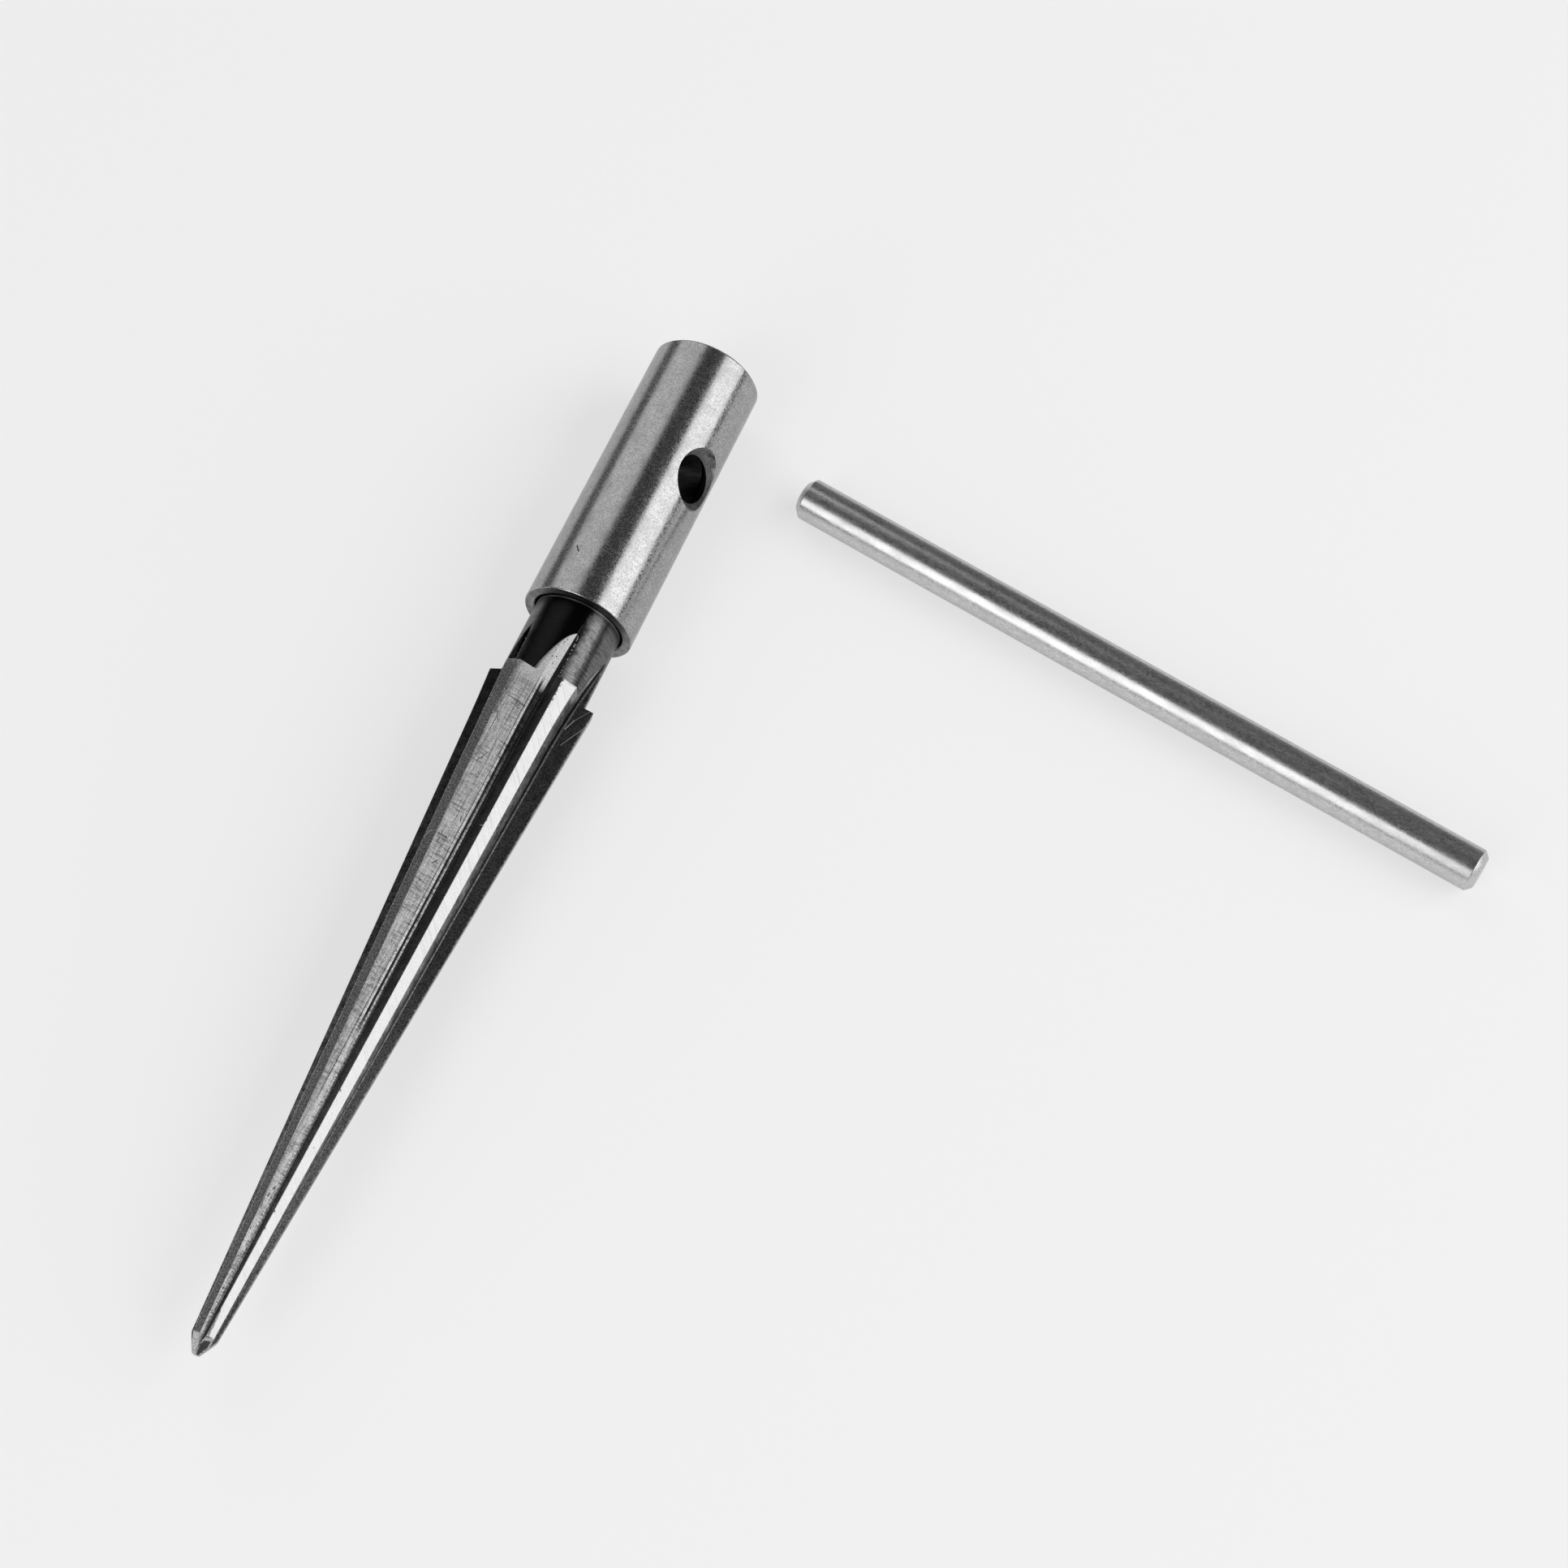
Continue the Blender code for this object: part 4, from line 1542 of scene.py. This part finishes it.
@dataclass
class FlutedBlade:
    """The hardened piece, lofted through sections. In millimetres, places from the mouth to the point."""

    mouth: Vector
    reach: float
    large_d: float = 13.0
    small_d: float = 3.0
    neck_d: float = 10.6
    neck_length: float = 9.9
    point_length: float = 2.0
    point_flat_d: float = 0.8
    spigot_length: float = 32.365
    spigot_chamfer: float = 0.6
    land_large: float = 1.66
    land_small: float = 0.95
    first_tooth: float = math.radians(-36.6)
    tooth_gaps: tuple[float, ...] = (66.5, 60.0, 56.0, 56.5, 56.0, 65.0)
    root_shares: tuple[float, float] = (0.65, 0.75)
    corner_shares: tuple[float, float] = (0.15, 0.35)
    root_fillet: float = 0.05
    wheel_radius: float = 100.0
    full_depth: float = 17.2
    runout_end: float = 1.2
    edge: float = 0.04
    samples: int = 500
    sharp: float = 30.0
    land_columns: int = 12
    outer_columns: int = 4
    wall_columns: tuple[int, int, int] = (5, 12, 12)

    def __post_init__(self) -> None:
        """Works out the angles of the teeth and the end of the taper."""
        self.base = self.reach - self.point_length
        turns = np.radians(np.concatenate([[0.0], np.cumsum(self.tooth_gaps)]))
        self.angles = self.first_tooth + turns

    def share(self, a: float) -> float:
        """0 at the shoulder and 1 where the point starts."""
        return (a - self.neck_length) / (self.base - self.neck_length)

    def radius(self, a: float) -> float:
        """The cutting radius at a place, or what it would be if the taper ran on."""
        return part_way(self.large_d, self.small_d, self.share(a)) / 2

    def land(self, a: float) -> float:
        """The width of the lands at a place."""
        return part_way(self.land_large, self.land_small, self.share(a))

    def flat(self, a: float, part: Part) -> float:
        """Works out how far the flats lie from the axis.

        Args:
            a: The place.
            part: Whether they are the lands or the flats of the point.

        Returns:
            The distance.
        """
        at = min(a, self.base) if part is Part.POINT else a
        lands = math.sqrt(self.radius(at) ** 2 - self.land(at) ** 2 / 4)
        if part is Part.POINT:
            return part_way(lands, self.point_flat_d / 2, (a - self.base) / self.point_length)
        return lands

    @staticmethod
    def polar(radius: float, angle: float) -> np.ndarray:
        """A point of a section as (y, z)."""
        return np.array([radius * math.sin(angle), radius * math.cos(angle)])

    def flute(self, a: float, tooth: int) -> tuple[np.ndarray, np.ndarray, float]:
        """The wheel's outline in one section: steep line, root arc and wide line.

        Args:
            a: The place of the section.
            tooth: The tooth that the steep line starts at.

        Returns:
            The lengths along the outline, 0 where the root starts, its points, and where the root ends.
        """
        radius, share = self.radius(a), self.share(a)
        half_land = math.asin(self.land(a) / (2 * radius))
        start, end = self.angles[tooth] + half_land, self.angles[tooth + 1] - half_land
        turn, depth = part_way(*self.corner_shares, share), part_way(*self.root_shares, share)
        corner = self.polar(radius * depth, start + turn * (end - start))
        steep, wide = self.polar(radius, start) - corner, self.polar(radius, end) - corner
        steep_size, wide_size = np.linalg.norm(steep), np.linalg.norm(wide)
        steep, wide = steep / steep_size, wide / wide_size
        half = math.acos(float(steep @ wide)) / 2
        most = ROOT_SHARE * steep_size, ROOT_SHARE * wide_size
        tangent = min(self.root_fillet * radius / math.tan(half), *most)
        fillet = tangent * math.tan(half)
        middle = (steep + wide) / np.linalg.norm(steep + wide)
        centre = corner + middle * fillet / math.sin(half)
        run = max(0.0, self.full_depth - a)
        lift = self.wheel_radius - math.sqrt(self.wheel_radius**2 - run**2)
        arc = (math.pi - 2 * half) * fillet
        s = np.linspace(-2 * radius, arc + 2 * radius, self.samples)
        s = np.sort(np.concatenate([s, [0.0, arc]]))
        turned = np.clip(s, 0.0, arc) / max(fillet, TINY)
        first = corner + steep * tangent - centre
        side = np.array([first[1], -first[0]])
        if side @ (corner + wide * tangent - centre) < 0:
            side = -side
        points = centre + np.outer(np.cos(turned), first) + np.outer(np.sin(turned), side)
        points += np.outer(np.clip(-s, 0.0, None), steep) + np.outer(np.clip(s - arc, 0.0, None), wide)
        return s, points + steep * lift, arc

    @staticmethod
    def crossings(s: np.ndarray, outside: np.ndarray) -> tuple[float, float] | None:
        """Where the outline goes in and comes out, or None if it stays outside.

        Args:
            s: Lengths along the outline.
            outside: How far each point lies outside, less than 0 where it is inside.

        Returns:
            The two lengths, or None.
        """
        inside = np.nonzero(outside < 0)[0]
        if len(inside) == 0:
            return None
        i, j = inside[0], inside[-1]
        enter = np.interp(0.0, [outside[i], outside[i - 1]], [s[i], s[i - 1]])
        leave = np.interp(0.0, [outside[j], outside[j + 1]], [s[j], s[j + 1]])
        return float(enter), float(leave)

    def gap_columns(self, a: float, part: Part, tooth: int, trim: float) -> dict:
        """The columns of one flute in one section.

        Args:
            a: The place of the section.
            part: Which outline bounds it.
            tooth: The tooth before the flute.
            trim: How much the outline is drawn in, for a chamfered shoulder.

        Returns:
            The corner points on both sides, and the points and lengths of the columns between them.
        """
        s, points, arc = self.flute(a, tooth)
        reach = np.linalg.norm(points, axis=1)
        before, after = self.polar(1.0, self.angles[tooth]), self.polar(1.0, self.angles[tooth + 1])
        if part is Part.ROUND:
            outside = reach - self.neck_d / 2
        else:
            flat = self.flat(a, part) - trim
            outside = np.maximum(points @ before, points @ after) - flat
        found = self.crossings(s, outside)
        counts = [self.outer_columns, *self.wall_columns, self.outer_columns]
        if found is None or (part is Part.ROUND and a <= self.runout_end):
            if part is Part.ROUND:
                lowest = points[np.argmin(reach)]
                meet = lowest / np.linalg.norm(lowest) * self.neck_d / 2
            else:
                half_gap = (self.angles[tooth + 1] - self.angles[tooth]) / 2
                meet = self.polar(flat / math.cos(half_gap), self.angles[tooth] + half_gap)
            points, across = np.tile(meet, (sum(counts), 1)), np.zeros(sum(counts))
            return {"enter": meet, "leave": meet, "points": points, "across": across, "open": 0.0}
        enter, leave = found
        edge = min(self.edge, EDGE_SHARE * (leave - enter))
        low, high = enter + edge, leave - edge
        ring = self.crossings(s, reach - self.neck_d / 2 * self.radius(a) / self.radius(self.neck_length))
        ring_low, ring_high = ring if ring and part is not Part.ROUND else (low, high)
        stops = np.clip([low, ring_low, 0.0, arc, ring_high, high], low, high)
        stops[1], stops[4] = min(stops[1], stops[2]), max(stops[4], stops[3])
        runs = [np.linspace(stops[k], stops[k + 1], n, endpoint=k == 4) for k, n in enumerate(counts)]
        lengths = np.concatenate(runs)

        def at(length: float | np.ndarray) -> np.ndarray:
            """The outline's point at a length."""
            return np.stack([np.interp(length, s, points[:, 0]), np.interp(length, s, points[:, 1])], axis=-1)

        sides = {"enter": at(enter), "leave": at(leave)}
        return sides | {"points": at(lengths), "across": lengths - arc / 2, "open": edge}

    def land_row(
        self, a: float, part: Part, left: np.ndarray, right: np.ndarray
    ) -> tuple[np.ndarray, np.ndarray]:
        """The columns between two flutes in one section.

        Args:
            a: The place of the section.
            part: Which outline bounds it.
            left: The corner where the flute before ends.
            right: The corner where the next flute starts.

        Returns:
            The points of the columns and their skin values.
        """
        span, count = right - left, self.land_columns
        size = max(float(np.linalg.norm(span)), TINY)
        inset = min(self.edge, EDGE_SHARE * size) / size
        if part is Part.ROUND:
            count += 2 * self.outer_columns + 2
        gone = np.linspace(inset, 1 - inset, count)
        if part is Part.ROUND:
            first, last = math.atan2(left[0], left[1]), math.atan2(right[0], right[1])
            last += math.tau if last < first else 0.0
            turns = first + (last - first) * gone
            points = np.stack([np.sin(turns), np.cos(turns)], axis=-1) * self.neck_d / 2
            size, across = (last - first) * self.neck_d / 2, turns * self.neck_d / 2
        else:
            points, across = left + np.outer(gone, span), (gone - 0.5) * size
        return points, np.stack([across, np.full(count, a), np.minimum(gone, 1 - gone) * size], axis=-1)

    def section(self, a: float, part: Part, trim: float = 0.0) -> tuple[np.ndarray, np.ndarray, list[Zone]]:
        """One ring of columns.

        Args:
            a: The place of the section.
            part: Which outline bounds it.
            trim: How much the outline is drawn in.

        Returns:
            The points as (y, z), their skin values (across, along, from the edge), and the zone of the face
            that starts at each column.
        """
        gaps = [self.gap_columns(a, part, tooth, trim) for tooth in range(len(self.tooth_gaps))]
        lands = [self.land_row(a, part, gaps[k - 1]["leave"], gap["enter"]) for k, gap in enumerate(gaps)]
        outer, side = self.outer_columns, part is not Part.ROUND
        land_zone = {Part.ROUND: Zone.NECK, Part.TAPER: Zone.LAND, Part.POINT: Zone.POINT}[part]
        steep, root, wide = self.wall_columns
        inner = [Zone.STEEP] * steep + [Zone.ROOT] * root + [Zone.WIDE] * wide
        ring, rows, zones = [], [], []
        for tooth, gap in enumerate(gaps):
            before, (body, row), wall = gaps[tooth - 1], lands[tooth], self.wall_rows(gap, a)
            if side:
                soft_left = 0.25 * before["points"][-1] + 0.5 * before["leave"] + 0.25 * body[0]
                soft_right = 0.25 * gap["points"][0] + 0.5 * gap["enter"] + 0.25 * body[-1]
                ring += [[soft_left], body, [soft_right], gap["points"]]
                rows += [row[:1], row, row[-1:], wall]
            else:
                after, after_row = lands[(tooth + 1) % len(gaps)]
                ring += [body[outer:], gap["points"][outer:-outer], after[:outer]]
                rows += [row[outer:], wall[outer:-outer], after_row[:outer]]
            zones += [land_zone] * (self.land_columns + 1)
            zones += [Zone.STEEP if side else Zone.NECK] * (outer + 1)
            zones += inner if side or gap["open"] else [Zone.NECK] * len(inner)
            zones += [Zone.WIDE if side else Zone.NECK] * outer
        return np.concatenate(ring), np.concatenate(rows), zones

    @staticmethod
    def wall_rows(gap: dict, a: float) -> np.ndarray:
        """Works out the skin values of one flute's columns.

        Args:
            gap: The columns.
            a: The place of the section.

        Returns:
            A row of (across, along, from the edge) for each.
        """
        across = gap["across"]
        near = np.minimum(across - across[0], across[-1] - across)
        return np.stack([across, np.full(len(across), a), near], axis=-1)

    def apex(self, tooth: int) -> float:
        """Finds where the wheel of one flute leaves the neck.

        Args:
            tooth: The tooth before the flute.

        Returns:
            The place.
        """
        low, high = self.runout_end, self.neck_length
        for _ in range(HALVINGS):
            middle = (low + high) / 2
            _, points, _ = self.flute(middle, tooth)
            if np.linalg.norm(points, axis=1).min() < self.neck_d / 2:
                high = middle
            else:
                low = middle
        return high

    def burr_guide(self) -> list[tuple[Vector, float, float]]:
        """Points along the edges that carry burrs: the runouts on the neck and the lands.

        Returns:
            Each point in metres with its chance of a burr and the burr's radius in millimetres.
        """
        guide = []

        def note(a: float, part: Part, tooth: int, side: str, share: float, size: float) -> None:
            """Adds one point of an edge."""
            y, z = self.gap_columns(a, part, tooth, 0.0)[side]
            guide.append((self.mouth + Vector((-a, y, z)) * MM, share, size))

        for tooth, share, size in ((0, 0.5, 0.085), (1, 0.5, 0.05), (5, 0.2, 0.04)):
            for a in np.arange(self.apex(tooth) + 0.1, self.neck_length - 0.1, 0.26):
                note(a, Part.ROUND, tooth, "enter", share, size)
        edges = ((0, "enter", 0.05), (5, "leave", 0.045), (1, "enter", 0.045), (0, "leave", 0.045))
        for tooth, side, size in edges:
            for a in np.arange(self.neck_length + 0.2, self.base - 8.0, 0.3):
                note(a, Part.TAPER, tooth, side, 0.07, size)
        note(29.9, Part.TAPER, 0, "enter", 1.0, 0.13)
        return guide

    def stations(self) -> list[tuple[float, Part, float]]:
        """Chooses the sections: close ones where a flute leaves the neck, wide ones along the taper.

        Returns:
            Their places from the spigot to the point, with the outline and the trim of each.
        """
        neck = [-self.spigot_length + self.spigot_chamfer, -1.0, 0.0, 1.2, 2.4]
        for tooth in range(len(self.tooth_gaps)):
            start = self.apex(tooth)
            neck += [start + 0.9 * (k / 9) ** 2 + 0.001 for k in range(10)]
        neck += list(np.linspace(5.2, self.neck_length, 16))
        neck = sorted(neck)
        thin = [neck[0]]
        for a in neck[1:]:
            if a - thin[-1] > 0.008:
                thin.append(a)
        thin[-1] = self.neck_length
        shoulder = self.neck_length
        result = [(a, Part.ROUND, 0.0) for a in thin]
        for step, trim in ((0.0, 0.06), (0.03, 0.02), (0.07, 0.0)):
            result.append((shoulder + step, Part.TAPER, trim))
        deep = self.full_depth
        for low, high, count in ((shoulder + 0.6, deep, 14), (deep + 2, self.base - 0.05, 32)):
            result += [(a, Part.TAPER, 0.0) for a in np.linspace(low, high, count)]
        result += [(a, Part.POINT, 0.0) for a in np.linspace(self.base + 0.03, self.reach - 0.04, 26)]
        result += [(self.reach, Part.POINT, 0.03)]
        return result

    def shell(self) -> tuple[list, list, list, list]:
        """Joins the sections with faces and closes both ends.

        Returns:
            The points, their skin values, the faces and the zone of each face.
        """
        places, skins, faces, zones = [], [], [], []
        stations = self.stations()
        for k, (a, part, trim) in enumerate(stations):
            ring, rows, own = self.section(a, part, trim)
            count = len(ring)
            places += [(-a, y, z) for y, z in ring]
            skins += [tuple(row) for row in rows]
            if k == 0:
                continue
            if stations[k - 1][1] is Part.ROUND and part is Part.TAPER:
                own = [Zone.SHOULDER] * count
            elif part is Part.ROUND and a <= 0.0:
                own = [Zone.SPIGOT] * count
            near, far = (k - 1) * count, k * count
            faces += [(near + i, near + j, far + j, far + i) for i, j in self.pairs(count)]
            zones += own
        start, tip = len(places), (len(stations) - 1) * count
        left = 1 - self.spigot_chamfer / (self.neck_d / 2)
        places += [(self.spigot_length, y * left, z * left) for _, y, z in places[:count]]
        skins += skins[:count]
        faces += [(start + i, start + j, j, i) for i, j in self.pairs(count)]
        faces += [tuple(range(start, start + count)), tuple(range(tip, tip + count))]
        return places, skins, faces, zones + [Zone.SPIGOT] * (count + 1) + [Zone.POINT]

    @staticmethod
    def pairs(count: int) -> list[tuple[int, int]]:
        """Each column of a ring with the next one."""
        return [(i, (i + 1) % count) for i in range(count)]

    def build(
        self, lathe: Lathe, hole: CrossHole, finishes: dict[Zone, bpy.types.Material]
    ) -> bpy.types.Object:
        """Lofts the blade, drills its spigot and dresses each zone.

        Args:
            lathe: What turns the drill.
            hole: The cross hole.
            finishes: A material for each zone.

        Returns:
            The finished piece.
        """
        places, skins, faces, zones = self.shell()
        obj = new_object("ground_blade", places, faces)
        for zone in Zone:
            obj.data.materials.append(finishes[zone])
        obj.data.polygons.foreach_set("material_index", [zone.value for zone in zones])
        attribute = obj.data.attributes.new("skin", "FLOAT_VECTOR", "POINT")
        attribute.data.foreach_set("vector", np.array(skins, np.float32).ravel())
        per_tooth = self.land_columns + 2 + 2 * self.outer_columns + sum(self.wall_columns)
        count = per_tooth * len(self.tooth_gaps)
        teeth = obj.data.attributes.new("tooth", "FLOAT", "POINT")
        teeth.data.foreach_set("value", [float(i % count // per_tooth) for i in range(len(places))])
        place_at(obj, Matrix.Translation(self.mouth) @ Matrix.Scale(MM, 4))
        close_and_orient(obj)
        cut(obj, hole.cutter(lathe, self.mouth, False, finishes[Zone.SPIGOT]))
        smooth(obj, self.sharp)
        return obj


@dataclass
class Studio:
    """The pale floor, the soft lamps and the camera. Lengths in metres, angles in degrees."""

    target: Vector
    photo_px: int = 1932
    focal_px: float = 3670.14
    camera_height: float = 62.531
    camera_heading: float = 22.712
    camera_distance: float = 0.343116
    floor_size: float = 1.6
    floor_colour: float = 0.4
    floor_glow: float = 0.55
    # Painted reflection: in reflections only, the floor turns to this darker colour and loses most of its
    # glow from this reach out.
    reflected_dark_from: float = 0.1
    reflected_dark_to: float = 0.26
    reflected_dark_colour: float = 0.1
    reflected_dark_share: float = 0.8
    sensor_width: float = 36.0

    def build(self) -> None:
        """Makes the floor, the lamps, the world and the camera."""
        self.floor()
        self.softbox("right_softbox", -83.0, 31.8, (1.44, 0.86), 2.1)
        self.softbox("left_softbox", 47.0, 39.0, (0.6, 0.84), 0.9)
        self.softbox("front_softbox", 157.0, 31.0, (0.45, 0.8), 2.2)
        self.softbox("low_card", 116.0, 8.0, (0.35, 0.2), 1.4)
        self.world()
        self.camera()

    def floor(self) -> None:
        """A wide plane that the pieces lie on, a little brighter to the eye than its light makes it, and in
        reflections painted dark from a short reach of the part out: a painted dark reflection.
        """
        half = self.floor_size / 2
        corners = [(-half, -half, 0.0), (half, -half, 0.0), (half, half, 0.0), (-half, half, 0.0)]
        obj = new_object("floor", corners, [(0, 1, 2, 3)])
        coat = Coat("pale_floor")
        coat.dress(Roughness=0.9, Specular_IOR_Level=0.1, Emission_Color=grey(1.0))
        path = coat.add("ShaderNodeLightPath").outputs
        mirrored = coat.largest(path["Is Glossy Ray"], path["Is Transmission Ray"])
        place = coat.add("ShaderNodeTexCoord").outputs["Object"]
        out = coat.measure("LENGTH", coat.vector("SUBTRACT", place, self.target))
        # Painted reflection: seen in metal, the floor is dark a short way from the part.
        far = coat.product(mirrored, coat.step(out, self.reflected_dark_from, self.reflected_dark_to))
        coat.dress(Base_Color=coat.mix(far, grey(self.floor_colour), grey(self.reflected_dark_colour)))
        glow = coat.product(coat.largest(path["Is Camera Ray"], mirrored), self.floor_glow)
        coat.dress(Emission_Strength=coat.product(glow, coat.left(coat.product(far, self.reflected_dark_share))))
        obj.data.materials.append(coat.material)

    def softbox(
        self, name: str, azimuth: float, height: float, size: tuple[float, float], radiance: float
    ) -> None:
        """A rectangular lamp that faces the part from a metre away.

        Args:
            name: The lamp's name.
            azimuth: Its direction round Z from +X, in degrees.
            height: Its angle above the floor, in degrees.
            size: Its width and height.
            radiance: How bright its surface is, where 1 is white.
        """
        lamp = bpy.data.lights.new(name, "AREA")
        lamp.shape = "RECTANGLE"
        lamp.size, lamp.size_y = size
        lamp.energy = radiance * math.pi * size[0] * size[1]
        obj = bpy.data.objects.new(name, lamp)
        bpy.context.scene.collection.objects.link(obj)
        turn, lift = math.radians(azimuth), math.radians(height)
        way = Vector((math.cos(turn) * math.cos(lift), math.sin(turn) * math.cos(lift), math.sin(lift)))
        obj.location = self.target + way
        obj.rotation_euler = (-way).to_track_quat("-Z", "Y").to_euler()
        obj.visible_camera = False

    def world(self) -> None:
        """A pale backdrop to the camera, soft fill to the part, and a dark room above in its reflections."""
        world = bpy.data.worlds.new("studio")
        bpy.context.scene.world = world
        world.use_nodes = True
        net = Network(world.node_tree)
        back = world.node_tree.nodes["Background"]
        _, _, up = net.separate(net.add("ShaderNodeTexCoord").outputs["Object"])
        path = net.add("ShaderNodeLightPath").outputs
        room = net.mix(net.step(up, 0.25, 0.6), grey(0.16), grey(0.085))
        colour = net.mix(path["Is Glossy Ray"], grey(0.3), room)
        colour = net.mix(path["Is Camera Ray"], colour, grey(0.86))
        net.feed(back.inputs["Color"], colour)
        back.inputs["Strength"].default_value = 1.0

    def camera(self) -> None:
        """The photo's camera, from its focal length in pixels and the floor point that it looks at."""
        height, heading = math.radians(self.camera_height), math.radians(90.0 - self.camera_heading)
        right = Vector((math.cos(heading), -math.sin(heading), 0.0))
        ahead = Vector((math.sin(heading), math.cos(heading), 0.0))
        look = ahead * math.cos(height) - Vector((0, 0, 1)) * math.sin(height)
        data = bpy.data.cameras.new("photo_camera")
        data.sensor_width = self.sensor_width
        data.lens = self.focal_px / self.photo_px * data.sensor_width
        data.clip_start, data.clip_end = 0.01, 50.0
        obj = bpy.data.objects.new("photo_camera", data)
        bpy.context.scene.collection.objects.link(obj)
        matrix = Matrix((right, right.cross(look), -look)).transposed().to_4x4()
        matrix.translation = self.target - look * self.camera_distance
        obj.matrix_world = matrix
        bpy.context.scene.camera = obj


def hand_over(piece: bpy.types.Object, node: str | None = None) -> None:
    """Lets a finished piece ride on the body.

    Args:
        piece: The piece.
        node: The node of the frame that it stands for. A detail has none.
    """
    if node:
        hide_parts(node)
    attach(piece, BODY)
    LOG.info("%s stands for %s, %d faces", piece.name, node or "no node", len(piece.data.polygons))


def clear_startup() -> None:
    """Removes what a new file holds."""
    for obj in list(bpy.data.objects):
        bpy.data.objects.remove(obj, do_unlink=True)


def sleeve_looks(effects: Effects, centre: tuple[float, ...]) -> dict[Skin, bpy.types.Material]:
    """Makes the materials of the sleeve.

    Args:
        effects: The shared groups.
        centre: The middle of the sleeve's mouth.

    Returns:
        A material for each surface.
    """
    sink = {"bright": 0.3, "dark": 0.06, "nicks": SINK_DARK, "light_nicks": SINK_LIGHT}
    looks = {
        Skin.OUTSIDE: SatinSteel("satin_turned_steel", 0.21, flecks=0.7, nicks=SLEEVE_NICKS, centre=centre),
        # The mouth face carries two lobes of painted shade.
        Skin.MOUTH: DullFace("turned_mouth_face", 0.4, bright=0.46, dark=0.12, shade_lobes=0.8, centre=centre),
        Skin.SINK: DullFace("countersunk_edge", 0.42, centre=centre, **sink),
        # Painted shade: the drilled walls of the bore and the cross hole are painted nearly black.
        Skin.INSIDE: DullFace("shaded_drilled_wall", 0.5, bright=0.03, dark=0.01, centre=centre),
        Skin.END: DullFace("turned_end_face", 0.3, bright=0.5, dark=0.3, centre=centre),
        # Painted reflection: the end chamfer is painted darker than the outside, standing in for the dark it
        # reflects.
        Skin.CHAMFER: DullFace("painted_dark_chamfer", 0.3, bright=0.3, dark=0.12, pitch=0.2, centre=centre),
    }
    return {surface: look.build(effects) for surface, look in looks.items()}


def blade_looks(effects: Effects, centre: tuple[float, ...]) -> dict[Zone, bpy.types.Material]:
    """Makes the materials of the blade.

    Args:
        effects: The shared groups.
        centre: The middle of the sleeve's mouth.

    Returns:
        A material for each zone.
    """
    land = {"bright": 0.54, "dark": 0.12, "nicks": LAND_NICKS, "light_nicks": LAND_SCRATCHES}
    point = {"bright": 0.42, "dark": 0.16, "worn_edge": 0.9, "worn_width": 0.26, "light_nicks": POINT_PAINTED_HIGHLIGHT}
    wide = {"marks": 0.5, "weave": 0.3, "grit": 0.28, "painted_glints": 0.9, "nicks": WIDE_NICKS}
    steep = {"marks": 0.1, "light_nicks": STEEP_SCRATCHES}
    looks = {
        Zone.NECK: TurnedOxide("turned_black_oxide", 0.3, centre=centre),
        Zone.LAND: GroundFace("ground_land", 0.24, tooth_light_paint=LAND_LIGHT_PAINT, **land),
        Zone.POINT: GroundFace("ground_point", 0.28, tooth_light_paint=POINT_LIGHT_PAINT, **point),
        Zone.STEEP: FluteWall("steep_wall", 0.38, tone=0.085, tooth_light_paint=STEEP_LIGHT_PAINT, **steep),
        Zone.ROOT: FluteWall("flute_root", 0.4, tone=0.06, tooth_light_paint=ROOT_LIGHT_PAINT),
        Zone.WIDE: FluteWall("wide_wall", 0.3, tone=0.42, tooth_light_paint=WIDE_LIGHT_PAINT, lines=WHEEL_LINES, **wide),
    }
    made = {zone: look.build(effects) for zone, look in looks.items()}
    return made | {Zone.SPIGOT: made[Zone.NECK], Zone.SHOULDER: made[Zone.NECK]}


def main() -> None:
    """Builds the looks piece by piece and hands them over."""
    logging.basicConfig(level=logging.INFO)
    clear_startup()
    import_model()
    sleeve_low, sleeve_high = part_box("handle_sleeve")
    bar_low, bar_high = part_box("tommy_bar")
    blade_low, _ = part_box("fluted_blade")
    mouth = Vector((sleeve_low.x, (sleeve_low.y + sleeve_high.y) / 2, (sleeve_low.z + sleeve_high.z) / 2))
    effects, lathe, hole, centre = Effects(), Lathe(), CrossHole(), tuple(mouth)
    shine = {"bright": 0.7, "dark": 0.5, "grain": 0.14, "stretch": 3.0, "lines": 0.0, "rough_grain": 0.035}
    place = {"centre": tuple((bar_low + bar_high) / 2), "radius": 2.6, "turn": TommyBar.turn}
    drawn = SatinSteel("smooth_drawn_steel", 0.3, **shine, **place).build(effects)
    torn = SatinSteel("torn_bare_steel", 0.55, bright=0.8, dark=0.55, depth=0.002, centre=centre)
    sleeve = HandleSleeve(mouth, (sleeve_high.x - sleeve_low.x) / MM, (sleeve_high.z - sleeve_low.z) / MM)
    turned = sleeve.build(lathe, hole, sleeve_looks(effects, centre))
    hand_over(turned, "handle_sleeve")
    bar = TommyBar(bar_low, bar_high, (bar_high.z - bar_low.z) / MM)
    hand_over(bar.build(lathe, drawn), "tommy_bar")
    blade = FlutedBlade(mouth, (mouth.x - blade_low.x) / MM)
    ground = blade.build(lathe, hole, blade_looks(effects, centre))
    hand_over(ground, "fluted_blade")
    burrs, bare = Burrs(), torn.build(effects)
    hand_over(burrs.build("edge_burrs", blade.burr_guide(), bare))
    hand_over(burrs.build("sleeve_burrs", sleeve.burr_guide(), bare))
    Studio(Vector((mouth.x - AIM_BACK, mouth.y - AIM_SIDE, 0.0))).build()
    bpy.context.scene.view_settings.view_transform = "Standard"


if __name__ == "__main__":
    main()
